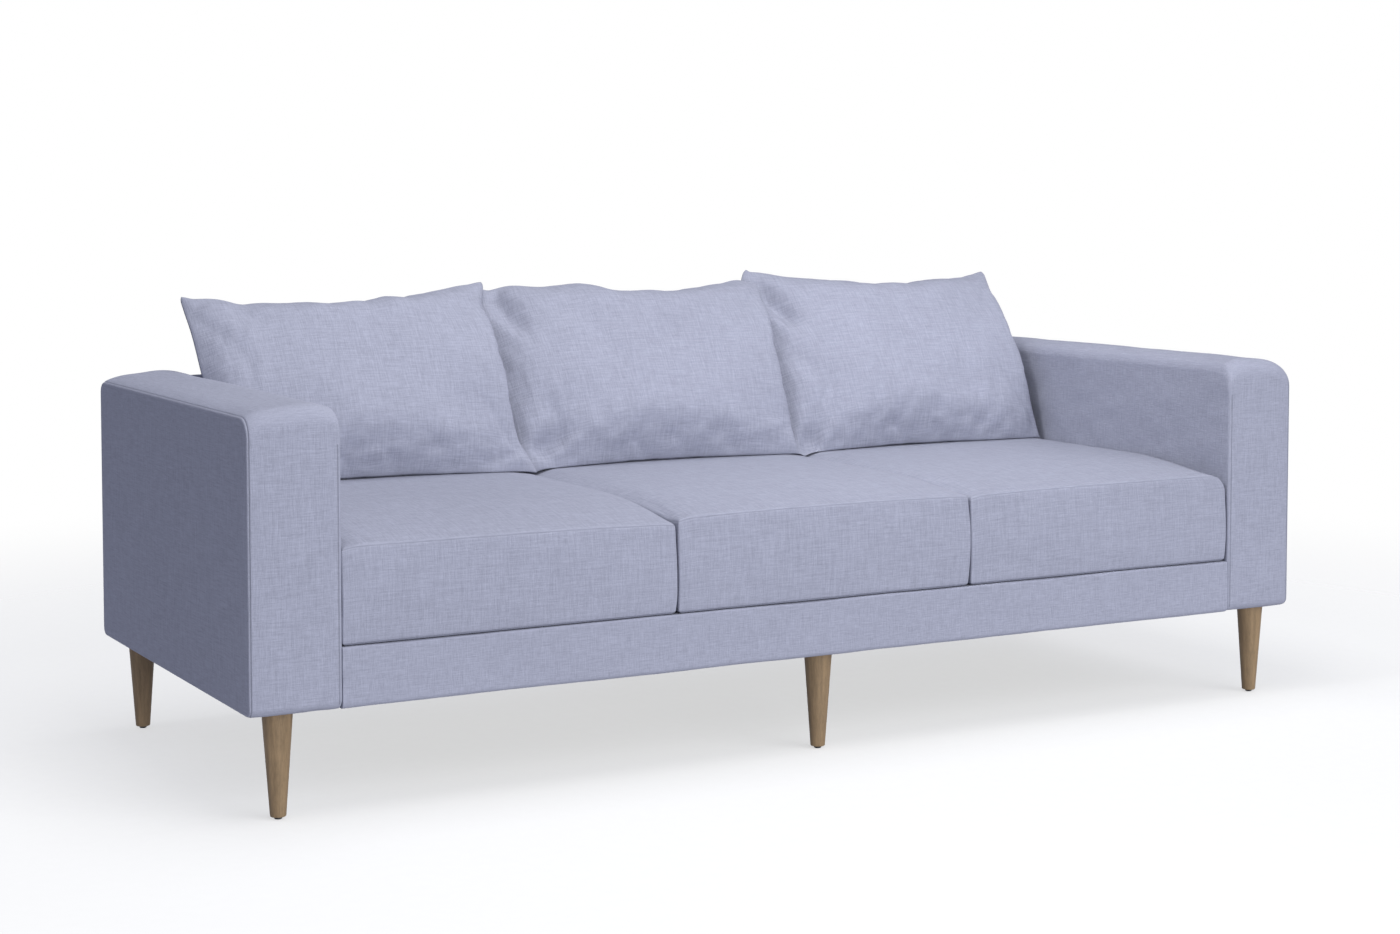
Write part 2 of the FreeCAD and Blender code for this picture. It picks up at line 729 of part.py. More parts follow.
def back_block(label, inset):
    """The back's outer form, drawn in by inset all round."""
    depth = f"(back_thickness - 2 * ({inset}))"
    height = f"(back_height - leg_height - 2 * ({inset}))"
    radii = (
        None,
        None,
        f"(back_rear_radius - ({inset}))",
        f"(back_front_radius - ({inset}))",
    )
    profile = rounded_profile(f"{label}_profile", depth, height, radii)
    block = prism(label, profile, "YZ", f"({BASE_WIDTH} - 2 * ({inset}))")
    place = (
        f"(-{BASE_HALF} + ({inset}))",
        f"({BACK_FACE} + ({inset}))",
        f"(leg_height + ({inset}))",
    )
    return put(block, place)


def make_back_frame(holes):
    """Two rails, the posts between them and webbing across the posts. holes are those of
    the bottom rail."""
    left = f"(-{BASE_HALF} + cover_thickness)"
    width = f"({BASE_WIDTH} - 2 * cover_thickness)"
    low_front = f"({BACK_FACE} + cover_thickness)"
    low_rail = box(
        "back_bottom_rail_blank",
        (width, f"({BACK_FRAME_REAR} - {low_front})", "back_rail_height"),
        (left, low_front, FRAME_FLOOR),
    )
    keep(cut("back_bottom_rail", low_rail, holes))
    post_top = f"({BACK_FRAME_TOP} - back_frame_depth)"
    top_rail = (width, "back_frame_depth", "back_frame_depth")
    keep(box("back_top_rail", top_rail, (left, BACK_FRAME_FRONT, post_top)))

    room = f"({post_top} - {BACK_POST_FLOOR})"
    posts = []
    for i in range(BACK_POSTS):
        x = f"({left} + ({width} - back_frame_depth) * {i} / {BACK_POSTS - 1})"
        size = ("back_frame_depth", "back_frame_depth", room)
        posts.append(box(f"back_post_{i}", size, (x, BACK_FRAME_FRONT, BACK_POST_FLOOR)))
    keep(group("back_posts", posts))

    straps = []
    strap = (f"({width} - 2 * webbing_margin)", "webbing_thickness", "webbing_width")
    for i in range(BACK_WEBS):
        middle = f"({BACK_POST_FLOOR} + {room} * {i + 1} / {BACK_WEBS + 1})"
        place = (
            f"({left} + webbing_margin)",
            f"({BACK_FRAME_FRONT} - webbing_thickness)",
            f"({middle} - webbing_width / 2)",
        )
        straps.append(box(f"back_strap_{i}", strap, place))
    keep(group("back_webbing", straps))


def make_back_upholstery(holes):
    """Foam round the back's frame inside a sewn cover."""
    left = f"(-{BASE_HALF})"
    frame_room = box(
        "back_frame_room",
        (
            BASE_WIDTH,
            "(back_frame_depth + webbing_thickness)",
            f"({BACK_FRAME_TOP} - leg_height)",
        ),
        (left, f"({BACK_FRAME_FRONT} - webbing_thickness)", "leg_height"),
    )
    low_room = box(
        "back_low_room",
        (
            BASE_WIDTH,
            f"({BACK_FRAME_REAR} - {BACK_FACE})",
            f"({BACK_POST_FLOOR} - leg_height)",
        ),
        (left, BACK_FACE, "leg_height"),
    )
    pad = back_block("back_pad_blank", "cover_thickness + soft_gap")
    keep(cut("back_pad", cut("back_pad_hollow", pad, frame_room), low_room))
    cover = cut(
        "back_cover_shell",
        back_block("back_cover_blank", "0"),
        back_block("back_cover_space", "cover_thickness"),
    )
    keep(cut("back_cover", cover, holes))


# ---------------------------------------------------------------- cushions and pillows


def cushion_block(label, seat, inset):
    """A seat cushion's form, drawn in by inset all round."""
    width = f"({SEAT_PITCH} - 2 * slide_gap - 2 * ({inset}))"
    depth = f"({BACK_FACE} - {FRONT} - cushion_setback - slide_gap - 2 * ({inset}))"
    height = f"(cushion_height - 2 * ({inset}))"
    front = f"({height} - cushion_front_drop)"
    side = rising_profile(f"{label}_side", depth, front, height, "cushion_rise_length")
    across = crowned_profile(
        f"{label}_across", width, f"({height} - cushion_crown)", "cushion_crown"
    )
    block = common(
        label,
        prism(f"{label}_rising", side, "YZ", width),
        prism(f"{label}_crowned", across, "XZ", depth),
    )
    place = (
        f"({seat} * {SEAT_PITCH} - {width} / 2)",
        f"({FRONT} + cushion_setback + ({inset}))",
        f"(deck_height + soft_gap + ({inset}))",
    )
    return put(block, place)


def pillow_foot():
    """Where the middle of a pillow's lower edge lies, as (y, z). The pillow stands on its
    seat cushion and leans back until it meets the rounded top of the back."""
    swell = "(pillow_back_bulge - pillow_edge / 2)"
    radius = f"({bulge_radius('pillow_length', swell)})"
    offset = f"({radius} - pillow_back_bulge)"
    z = "(deck_height + 2 * soft_gap + cushion_height + sin(pillow_lean) * pillow_edge / 2)"
    half_rise = "(cos(pillow_lean) * pillow_length / 2)"
    half_run = "(sin(pillow_lean) * pillow_length / 2)"
    arc_z = f"({z} + {half_rise} + sin(pillow_lean) * {offset})"
    round_y = f"({BACK_FACE} + back_front_radius)"
    round_z = "(back_height - back_front_radius)"
    reach = f"(back_front_radius + {radius} + soft_gap)"
    arc_y = f"({round_y} - sqrt({reach} ^ 2 - ({arc_z} - {round_z}) ^ 2))"
    return f"({arc_y} - {half_run} + cos(pillow_lean) * {offset})", z


def pillow_block(label, seat, inset):
    """A back pillow's form, drawn in by inset all round."""
    width = f"({SEAT_PITCH} - 2 * pillow_side_gap - 2 * ({inset}))"
    length = f"(pillow_length - 2 * ({inset}))"
    front, back = f"(pillow_front_bulge - ({inset}))", f"(pillow_back_bulge - ({inset}))"
    edge = f"(pillow_edge - 2 * ({inset}))"
    upright = lens_profile(f"{label}_upright", length, edge, front, back)
    level = lens_profile(f"{label}_level", width, edge, front, back)
    block = common(
        label,
        prism(f"{label}_tall", upright, "YZ", width),
        prism(f"{label}_wide", level, "YX", length),
    )
    foot_y, foot_z = pillow_foot()
    place = (
        f"({seat} * {SEAT_PITCH} - {width} / 2)",
        f"({foot_y} + ({inset}) * sin(pillow_lean) - {front} * cos(pillow_lean))",
        f"({foot_z} + ({inset}) * cos(pillow_lean) + {front} * sin(pillow_lean))",
    )
    put(block, place, Rotation(Vector(1, 0, 0), -1))
    bind(block, "Placement.Rotation.Angle", "-pillow_lean")
    return block


def make_loose(kind, filling, block):
    """A sewn cover and what fills it, for each seat."""
    for name, seat in SEATS.items():
        cover = cut(
            f"{kind}_cover_{name}",
            block(f"{kind}_form_{name}", seat, "0"),
            block(f"{kind}_space_{name}", seat, "cover_thickness"),
        )
        keep(cover)
        keep(block(f"{kind}_{filling}_{name}", seat, "cover_thickness + soft_gap"))


# ---------------------------------------------------------------- build and write


def check(things):
    """Stop if any feature failed or any sub-part isn't a valid solid."""
    for thing in things:
        if {"Invalid", "Error"} & set(thing.State):
            raise RuntimeError(f"{thing.Label} failed: {thing.State}")
    for node in nodes:
        if node.Shape.isNull() or not node.Shape.isValid() or not node.Shape.Solids:
            raise RuntimeError(f"{node.Label} has no valid solid")


def main():
    make_sheet()
    make_legs()
    make_fastenings()
    arm_bolts = {
        name: bolt_holes(f"arm_bolt_holes_{name}", arm_bolt_places(name), ARM_NUT_DEPTH)
        for name in SIDES
    }
    for name, side in SIDES.items():
        make_arm(name, side, arm_bolts[name])
    back_bolts = bolt_holes("back_bolt_holes", back_bolt_places(), BACK_NUT_DEPTH)
    front_leg = leg_hole("leg_front_centre")
    make_seat_frame(arm_bolts, back_bolts, front_leg)
    make_deck()
    make_front_rail_upholstery(front_leg)
    back_holes = group("back_holes", [back_bolts, leg_hole("leg_rear_centre")])
    make_back_frame(back_holes)
    make_back_upholstery(back_holes)
    make_loose("seat_cushion", "core", cushion_block)
    make_loose("back_pillow", "filling", pillow_block)
    doc.recompute()
    check(doc.Objects)
    os.makedirs("parts", exist_ok=True)
    for node in nodes:
        node.Shape.exportStep(f"parts/{node.Label}.step")
    print(len(nodes), "sub-parts written")


main()
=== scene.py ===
"""The looks of a three-seat sofa with loose cushions on tapered wooden legs.

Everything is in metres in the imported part's own frame: X runs along the sofa, the front
faces -Y, Z is up and the floor is at 0. Left is the -X end. Soft pieces are skins built in
mesh code round the boxes of the CAD nodes that they stand for; the seat cushions and the
back pillows are then inflated as cloth.
"""

import math

import bpy
import numpy as np
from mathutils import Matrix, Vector


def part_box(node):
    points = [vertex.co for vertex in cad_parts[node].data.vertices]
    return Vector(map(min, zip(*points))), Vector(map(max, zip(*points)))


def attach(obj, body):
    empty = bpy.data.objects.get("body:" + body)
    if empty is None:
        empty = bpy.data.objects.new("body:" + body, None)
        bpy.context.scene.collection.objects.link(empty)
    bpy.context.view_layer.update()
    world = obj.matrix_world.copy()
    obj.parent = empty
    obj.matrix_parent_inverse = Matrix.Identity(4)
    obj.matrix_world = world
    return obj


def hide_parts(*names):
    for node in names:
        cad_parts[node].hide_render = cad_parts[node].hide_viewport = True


SEATS = {"left": -1, "centre": 0, "right": 1}
SIDES = {"left": -1, "right": 1}
MM = 0.001

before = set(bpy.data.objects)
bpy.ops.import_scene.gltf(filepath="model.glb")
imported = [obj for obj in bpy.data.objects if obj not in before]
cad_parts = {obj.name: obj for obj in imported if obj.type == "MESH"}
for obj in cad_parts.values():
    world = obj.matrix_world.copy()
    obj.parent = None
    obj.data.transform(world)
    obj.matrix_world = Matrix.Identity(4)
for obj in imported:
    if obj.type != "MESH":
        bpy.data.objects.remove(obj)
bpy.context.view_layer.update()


# -------------------- shapes in numbers


def ripple(points, seed, size, stretch=(1, 1, 1), waves=24):
    """Smooth waviness at each point, mostly within -1 to 1, its bumps about size apart.
    stretch over 1 along an axis makes the bumps that much longer there."""
    random = np.random.default_rng(seed)
    ways = random.normal(size=(waves, 3))
    ways /= np.linalg.norm(ways, axis=1)[:, None]
    ways *= random.uniform(0.6, 1.4, (waves, 1)) * 2 * math.pi / size / np.array(stretch)
    phases = random.uniform(0, 2 * math.pi, waves)
    return np.cos(points @ ways.T + phases).sum(1) / math.sqrt(waves)


def smooth_step(x, start, end):
    t = np.clip((x - start) / (end - start), 0, 1)
    return t * t * (3 - 2 * t)


def hump(x, middle, width):
    return np.exp(-(((x - middle) / width) ** 2))


def skin_normals(points, faces):
    """The outward direction at each point of a skin of quads."""
    a, b, c, d = (points[faces[:, i]] for i in range(4))
    flat = np.cross(c - a, d - b)
    normals = np.zeros_like(points)
    for i in range(4):
        np.add.at(normals, faces[:, i], flat)
    return normals / np.maximum(np.linalg.norm(normals, axis=1), 1e-12)[:, None]


def edge_inset(t, radius):
    """How far a rounded edge draws the side in, t from the end plane."""
    t = np.clip(t, 0, radius)
    return radius - np.sqrt(np.maximum(radius**2 - (radius - t) ** 2, 0))


def rounding_steps(radius, steps=6):
    """Distances from an end plane that step evenly round an edge of that radius."""
    return [radius * (1 - math.cos(math.pi / 2 * i / steps)) for i in range(steps + 1)]


ARC_STEPS = 4


def ring(low, high, radii, steps):
    """Points round a rectangle with rounded corners, anticlockwise from the middle of its
    first corner. steps are the spaces along a flat and an upright side."""
    low, high = np.array(low), np.array(high)
    middle, half = (low + high) / 2, (high - low) / 2
    signs = np.array([(-1, -1), (1, -1), (1, 1), (-1, 1)])
    radii = np.maximum(np.array(radii), 1e-4)
    centres = middle + signs * (half - radii[:, None])

    def arc(corner, start, ends):
        angles = np.radians(np.linspace(start, start + 45, ARC_STEPS + 1))[ends]
        turn = np.stack([np.cos(angles), np.sin(angles)], axis=1)
        return centres[corner] + radii[corner] * turn

    points = []
    for i in range(4):
        lead = arc(i, 225 + 90 * i, slice(None))
        trail = arc((i + 1) % 4, 270 + 90 * i, slice(0, ARC_STEPS))
        share = np.linspace(0, 1, steps[i % 2] + 1)[1:-1, None]
        straight = lead[-1] * (1 - share) + trail[0] * share
        points += [lead, straight, trail]
    return np.concatenate(points)


def side_counts(steps):
    return [n + 2 * ARC_STEPS for n in steps]


def end_grid(points, first, start, across, up):
    """The grid that fills a ring whose points start at index first: the index of each grid
    point, and the new inner points, which are numbered from start."""
    order = first + np.arange(2 * (across + up))
    index = np.zeros((across + 1, up + 1), int)
    index[:, 0] = order[: across + 1]
    index[across, :] = order[across : across + up + 1]
    index[::-1, up] = order[across + up : 2 * across + up + 1]
    index[0, ::-1] = np.append(order[2 * across + up :], order[0])
    index[1:-1, 1:-1] = start + np.arange((across - 1) * (up - 1)).reshape(across - 1, -1)

    def reach(side):
        gone = np.linalg.norm(np.diff(side, axis=0), axis=1).cumsum()
        return np.append(0, gone / gone[-1])

    low, high = points[index[:, 0]][:, None], points[index[:, up]][:, None]
    left, right = points[index[0]][None], points[index[across]][None]
    s = reach(low[:, 0])[:, None, None]
    t = reach(left[0])[None, :, None]
    corners = (1 - s) * ((1 - t) * low[0, 0] + t * high[0, 0])
    corners = corners + s * ((1 - t) * low[-1, 0] + t * high[-1, 0])
    filled = (1 - t) * low + t * high + (1 - s) * left + s * right - corners
    return index, filled[1:-1, 1:-1].reshape(-1, 3)


def quads(index):
    """The faces of a grid of point numbers."""
    return np.stack(
        [index[:-1, :-1], index[1:, :-1], index[1:, 1:], index[:-1, 1:]], axis=-1
    ).reshape(-1, 4)


def tube_faces(levels, around):
    """The faces of a stack of rings of points."""
    index = np.arange(levels * around).reshape(levels, around)
    return quads(np.concatenate([index, index[:, :1]], axis=1))


def closed_skin(rings, steps):
    """Points and faces of a closed skin over a stack of rings, with its ends filled."""
    count = len(rings[0])
    points = np.concatenate(rings)
    faces = [tube_faces(len(rings), count)[:, ::-1]]
    across, up = side_counts(steps)
    for first, facing in ((0, -1), (len(points) - count, 1)):
        grid, inner = end_grid(points, first, len(points), across, up)
        points = np.concatenate([points, inner])
        faces.append(quads(grid)[:, ::facing])
    return points, np.concatenate(faces)


def inside_distance(across, up, low, high, radius):
    """How far points lie inside a rectangle with rounded corners."""
    middle, half = (np.array(low) + high) / 2, (np.array(high) - low) / 2
    dx = np.abs(across - middle[0]) - half[0] + radius
    dy = np.abs(up - middle[1]) - half[1] + radius
    outside = np.hypot(np.maximum(dx, 0), np.maximum(dy, 0))
    return radius - outside - np.minimum(np.maximum(dx, dy), 0)


# -------------------- node materials


class Nodes:
    """A material's node tree, with short ways to add and join nodes."""

    def __init__(self, name):
        self.material = bpy.data.materials.new(name)
        self.material.use_nodes = True
        self.tree = self.material.node_tree
        self.shader = self.tree.nodes["Principled BSDF"]

    def feed(self, socket, value):
        if isinstance(value, bpy.types.NodeSocket):
            self.tree.links.new(value, socket)
        else:
            socket.default_value = value

    def add(self, kind, settings=None, **inputs):
        """A node of that kind. inputs are by socket name with _ for a space."""
        node = self.tree.nodes.new(f"ShaderNode{kind}")
        for key, value in (settings or {}).items():
            setattr(node, key, value)
        for key, value in inputs.items():
            self.feed(node.inputs[key.replace("_", " ")], value)
        return node

    def math(self, operation, *values, kind="Math"):
        node = self.add(kind, {"operation": operation})
        for socket, value in zip(node.inputs, values):
            self.feed(socket, value)
        return node.outputs[0]

    def vector(self, operation, *values):
        return self.math(operation, *values, kind="VectorMath")

    def mix(self, share, first, second, blend="MIX"):
        node = self.tree.nodes.new("ShaderNodeMix")
        node.data_type = "RGBA"
        node.blend_type = blend
        self.feed(node.inputs["Factor"], share)
        self.feed(node.inputs["A"], first)
        self.feed(node.inputs["B"], second)
        return node.outputs["Result"]

    def ramp(self, value, start, end, low=0.0, high=1.0):
        limits = {"From_Min": start, "From_Max": end, "To_Min": low, "To_Max": high}
        settings = {"interpolation_type": "SMOOTHSTEP"}
        return self.add("MapRange", settings, Value=value, **limits).outputs[0]

    def place(self):
        return self.add("TexCoord").outputs["Object"]

    def noise(self, scale, detail=2.0, seed=0.0, vector=None):
        """Noise whose grain is 1/scale metres along each axis."""
        spot = self.vector("MULTIPLY", vector or self.place(), scale)
        spot = self.vector("ADD", spot, (seed, seed, seed))
        return self.add("TexNoise", Vector=spot, Scale=1.0, Detail=detail).outputs[0]

    def attribute(self, name, output="Fac"):
        return self.add("Attribute", {"attribute_name": name}).outputs[output]

    def weave(self, fine, long, detail, seed):
        """Yarn streaks about 0 that run along the axes lying in the cloth. The mesh
        attributes cloth and facing are the place on the cloth and how squarely it faces
        each axis."""
        cloth = self.attribute("cloth", "Vector")
        facing = self.add("SeparateXYZ", Vector=self.attribute("facing", "Vector"))
        total = 0.0
        for axis in range(3):
            scale = [1 / fine] * 3
            scale[axis] = 1 / long
            streak = self.noise(scale, detail, seed + 7 * axis, cloth)
            share = self.math("SUBTRACT", 1.0, facing.outputs[axis])
            centred = self.math("SUBTRACT", streak, 0.5)
            total = self.math("MULTIPLY_ADD", centred, share, total)
        return total

    def finish(self, colour, roughness, height, distance, **plain):
        """Wire up the shader. plain are values of the shader's own sockets."""
        self.feed(self.shader.inputs["Base Color"], colour)
        self.feed(self.shader.inputs["Roughness"], roughness)
        bump = self.add("Bump", Height=height, Distance=distance, Strength=1.0)
        self.feed(self.shader.inputs["Normal"], bump.outputs[0])
        for key, value in plain.items():
            self.shader.inputs[key.replace("_", " ")].default_value = value
        return self.material


def shade(colour, by):
    return (*[min(c * by, 1) for c in colour], 1)


FABRIC_COLOUR = (0.303, 0.315, 0.391)
STITCH_LENGTH = 4.2 * MM


def topstitching(n):
    """The thread of a row of topstitching, and the painted shade of the dip that it lies in, from
    0 to 1.
    """
    stitch = n.attribute("stitch")
    spot = n.add("SeparateXYZ", Vector=n.attribute("cloth", "Vector"))
    run = n.math("ADD", spot.outputs[0], spot.outputs[1])
    run = n.math("ADD", run, spot.outputs[2])
    beat = n.math("FRACT", n.math("DIVIDE", run, STITCH_LENGTH))
    dash = n.ramp(n.math("ABSOLUTE", n.math("SUBTRACT", beat, 0.5)), 0.30, 0.36, 1.0, 0.0)
    row = n.ramp(stitch, 0.35 * MM, 0.7 * MM, 1.0, 0.0)
    # Painted shade: a band up to 2 mm from the row, which darkens the cloth as though the dip lay
    # in shade.
    dip_shade = n.ramp(stitch, 0.6 * MM, 2.0 * MM, 1.0, 0.0)
    return n.math("MULTIPLY", dash, row), dip_shade


def fabric_material(name="linen_weave", colour=FABRIC_COLOUR):
    """Woven cloth with slubs. The mesh attributes seam and stitch are the distances to the
    nearest seam and row of topstitching.
    Near them the cloth is darkened as painted shade: in the seam's groove and in the dip beside
    the topstitching."""
    n = Nodes(name)
    slubs = n.weave(1.7 * MM, 32 * MM, 3.0, 0)
    threads = n.weave(0.8 * MM, 9 * MM, 1.0, 50)
    patches = n.noise((2.2, 2.2, 2.2), 3.0, 90)
    tone = n.math("MULTIPLY_ADD", threads, 0.6, slubs)
    tone = n.math("MULTIPLY_ADD", n.math("SUBTRACT", patches, 0.5), 0.18, tone)
    tone = n.math("ADD", tone, 0.5)
    cloth = n.mix(tone, shade(colour, 0.785), shade(colour, 1.215))

    # Painted shade: within 2 mm of every seam, zip and pillow rim the colour is darkened towards
    # 40 %, as though the seam's groove lay in shade. The bump below also sinks the groove.
    crease = n.ramp(n.attribute("seam"), 0.3 * MM, 2.0 * MM, 1.0, 0.0)
    thread, dip_shade = topstitching(n)
    # Painted shade in the dip along the topstitching: up to 18 % of the way towards 60 % of the
    # colour.
    cloth = n.mix(n.math("MULTIPLY", dip_shade, 0.18), cloth, shade(colour, 0.60))
    cloth = n.mix(n.math("MULTIPLY", crease, 0.65), cloth, shade(colour, 0.40))
    cloth = n.mix(n.math("MULTIPLY", thread, 0.6), cloth, shade(colour, 1.10))

    height = n.math("MULTIPLY_ADD", slubs, 0.5, threads)
    height = n.math("MULTIPLY_ADD", thread, 0.7, height)
    height = n.math("MULTIPLY_ADD", crease, -1.0, height)
    rough = n.math("MULTIPLY_ADD", threads, 0.2, 0.88)
    gloss = {"Sheen_Weight": 0.04, "Sheen_Roughness": 0.5, "Specular_IOR_Level": 0.1}
    return n.finish(cloth, rough, height, 0.35 * MM, **gloss)


def wood_material(name="oak_legs", colour=(0.245, 0.168, 0.092), along=2):
    """Straight-grained oak with pores, its grain along one axis."""
    n = Nodes(name)

    def grain(fine, long, detail, seed):
        scale = [1 / fine] * 3
        scale[along] = 1 / long
        return n.noise(scale, detail, seed)

    bands = grain(7 * MM, 130 * MM, 4.0, 3)
    fibres = grain(0.9 * MM, 30 * MM, 3.0, 11)
    pores = n.ramp(grain(0.55 * MM, 9 * MM, 2.0, 29), 0.60, 0.72)
    patches = n.noise((9, 9, 9), 2.0, 5)
    tone = n.math("MULTIPLY_ADD", n.math("SUBTRACT", bands, 0.5), 1.3, 0.5)
    tone = n.math("MULTIPLY_ADD", n.math("SUBTRACT", fibres, 0.5), 1.0, tone)
    tone = n.math("MULTIPLY_ADD", n.math("SUBTRACT", patches, 0.5), 0.5, tone)
    wood = n.mix(tone, shade(colour, 0.68), shade(colour, 1.35))
    wood = n.mix(n.math("MULTIPLY", pores, 0.45), wood, shade(colour, 0.42))
    height = n.math("MULTIPLY_ADD", pores, -1.2, fibres)
    rough = n.math("MULTIPLY_ADD", fibres, 0.25, 0.42)
    return n.finish(wood, rough, height, 0.15 * MM, Specular_IOR_Level=0.35)


def grained_material(name, colour, grain, rough, depth, vary=0.18, metallic=0.0):
    """A plain stuff whose colour, gloss and relief all vary with a fine grain."""
    n = Nodes(name)
    fine = n.noise((1 / grain,) * 3, 4.0, 2)
    broad = n.noise((1 / grain / 14,) * 3, 2.0, 40)
    tone = n.math("ADD", n.math("MULTIPLY", fine, 0.6), n.math("MULTIPLY", broad, 0.4))
    stuff = n.mix(tone, shade(colour, 1 - vary), shade(colour, 1 + vary))
    gloss = n.math("MULTIPLY_ADD", n.math("SUBTRACT", fine, 0.5), 0.3, rough)
    return n.finish(stuff, gloss, fine, depth, Metallic=metallic)


def woven_material(name, colour, yarn, rough=0.85):
    """A flat technical cloth of crossing yarns, such as webbing or dust cloth."""
    n = Nodes(name)
    yarns = 0.0
    for axis in range(3):
        scale = [1 / yarn] * 3
        scale[axis] = 1 / yarn / 8
        streak = n.math("SUBTRACT", n.noise(scale, 1.0, 9 * axis), 0.5)
        yarns = n.math("ADD", streak, yarns)
    tone = n.math("MULTIPLY_ADD", yarns, 1.2, 0.5)
    cloth = n.mix(tone, shade(colour, 0.65), shade(colour, 1.4))
    gloss = n.math("MULTIPLY_ADD", yarns, 0.2, rough)
    return n.finish(cloth, gloss, yarns, 0.3 * MM)


# -------------------- pieces


def add_piece(name, skin, material, body, slot, replaced=(), **noted):
    """A mesh object from points and faces that rides on a body. noted are numbers or
    vectors at each point that its material reads."""
    points, faces = skin
    mesh = bpy.data.meshes.new(name)
    mesh.from_pydata(points.tolist(), [], faces.tolist())
    for key, values in noted.items():
        kind, field = ("FLOAT", "value") if values.ndim == 1 else ("FLOAT_VECTOR", "vector")
        attribute = mesh.attributes.new(key, kind, "POINT")
        attribute.data.foreach_set(field, values.astype(np.float32).ravel())
    mesh.shade_smooth()
    mesh.materials.append(material)
    piece = bpy.data.objects.new(name, mesh)
    bpy.context.scene.collection.objects.link(piece)
    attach(piece, body)
    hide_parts(*replaced)
    return piece


def add_cover(name, skin, cloth, material, body, replaced, seam, stitch=None):
    """An upholstered piece. cloth is each point's place on its flat cloth, and seam and
    stitch how far it lies from the nearest seam and row of topstitching."""
    facing = np.abs(skin_normals(cloth, skin[1]))
    if stitch is None:
        stitch = np.full(len(seam), 0.1)
    noted = {"cloth": cloth, "facing": facing, "seam": seam, "stitch": stitch}
    piece = add_piece(name, skin, material, body, "cover_fabric", replaced, **noted)
    finer = piece.modifiers.new("finer", "SUBSURF")
    finer.levels = finer.render_levels = 1
    return piece


ARM_TOP_EDGE, ARM_SIDE_EDGE, ARM_PANEL_EDGE = 10 * MM, 5 * MM, 3 * MM
ARM_CORNERS = (15, 15, 21, 34)  # radii in mm of the outline, anticlockwise from lower front
ARM_STEPS = (70, 40)
ARM_SEAM = 2.8 * MM  # from the outer plane
ARM_SEAM_DROP = 12 * MM  # from the top of the box down to the sewn edge
# How far each arm's padding rises over its sewn edge: in the middle of its width, and then
# towards the inner side
ARM_CROWNS = {-1: (14 * MM, 7 * MM), 1: (21 * MM, 6 * MM)}


def arm_levels(width):
    """Where an arm's rings lie: their distance from the outer plane, and how much smaller
    than the outline those on the flat ends are."""
    levels = [(0.0, inset * MM) for inset in (30, 18, 11, 8.5, 7, 5.5, 4)]
    levels += [(t, 0.0) for t in rounding_steps(ARM_PANEL_EDGE, 3)]
    levels += [(t * MM, 0.0) for t in (3.6, 4.6, 6.5, 10, 16, 25, 40, 58, 77, 96, 114, 130)]
    levels += [(width - t * MM, 0.0) for t in (6.2, 8.6)]
    edges = [t for radius in (ARM_TOP_EDGE, ARM_SIDE_EDGE) for t in rounding_steps(radius)]
    levels += [(t, 0.0) for t in {round(width - t, 6) for t in edges}]
    levels.sort(key=lambda level: (level[0], -level[1]))
    return levels + [(width, inset * MM) for inset in (4, 12)]


def arm_ring(panel, width, side, t, inset):
    """The ring of an arm's skin at t from the outer plane."""
    (low_y, low_z), (high_y, high_z) = panel
    crown, inner_lift = ARM_CROWNS[side]
    groove = 1.3 * MM * hump(t, ARM_SEAM, 0.9 * MM) + inset
    near, far = edge_inset(t, ARM_PANEL_EDGE), width - t
    flank = groove + near + edge_inset(far, ARM_SIDE_EDGE)
    swell = 1 - abs(2 * t / width - 1) ** 3.2
    lift = inner_lift * smooth_step(t / width, 0.3, 0.9)
    brow = groove + near + edge_inset(far, ARM_TOP_EDGE) - crown * swell - lift
    front = flank - 2.5 * MM * swell
    radii = [max(r * MM - inset - near, 2 * MM) for r in ARM_CORNERS]
    corners = (low_y + front, low_z + flank), (high_y - flank, high_z - brow)
    loop = ring(*corners, radii, ARM_STEPS)
    return np.column_stack([np.full(len(loop), t), loop])


def arm_seams(points, panel, width):
    """How far each point of an arm's skin lies from its seams, from its topstitching and
    from the edge of the outer panel."""
    seam_inset, stitch_inset = 1.2 * MM, 6 * MM
    low_y, high_z = panel[0][0], panel[1][1]
    t, y, z = points.T
    inside = inside_distance(y, z, *panel, 18 * MM)
    inside_front = inside_distance(y, z, *panel, ARM_CORNERS[3] * MM)
    front_top = (y < low_y + 0.2) & (z > high_z - 0.2)
    inside = np.where(front_top, inside_front, inside)
    seam = np.hypot(t - ARM_SEAM, np.maximum(inside, 0) - seam_inset)
    inner_seam = np.hypot(t - width + ARM_SIDE_EDGE + 1 * MM, y - low_y)
    inner_seam += 40 * smooth_step(z, high_z - 45 * MM, high_z)
    stitch = np.abs(inside - stitch_inset) + np.where(t > 2 * MM, 1, 0)
    return np.minimum(seam, inner_seam), stitch, inside


def arm_skin(low, high, side):
    """An arm's cover: a flat outer panel sewn to a boxing that crowns over the top and
    turns softly down the inner side. Returns the skin, and how far each point lies from
    its seams and its topstitching."""
    width, panel_swell = high.x - low.x, 3.0 * MM
    panel = (low.y, low.z), (high.y, high.z - ARM_SEAM_DROP)
    rings = [arm_ring(panel, width, side, t, inset) for t, inset in arm_levels(width)]
    points, faces = closed_skin(rings, ARM_STEPS)
    outer = points[:, 0] < 1 * MM
    seam, stitch, inside = arm_seams(points, panel, width)
    swell = np.clip(inside / (90 * MM), 0, 1)
    points[outer, 0] -= panel_swell * np.sqrt(swell * (2 - swell))[outer]
    points[outer, 0] += 0.4 * MM * hump(inside[outer], 6 * MM, 1.2 * MM)
    points[:, 0] = low.x + points[:, 0] if side < 0 else high.x - points[:, 0]
    if side > 0:
        faces = faces[:, ::-1]
    return (points, faces), seam, stitch


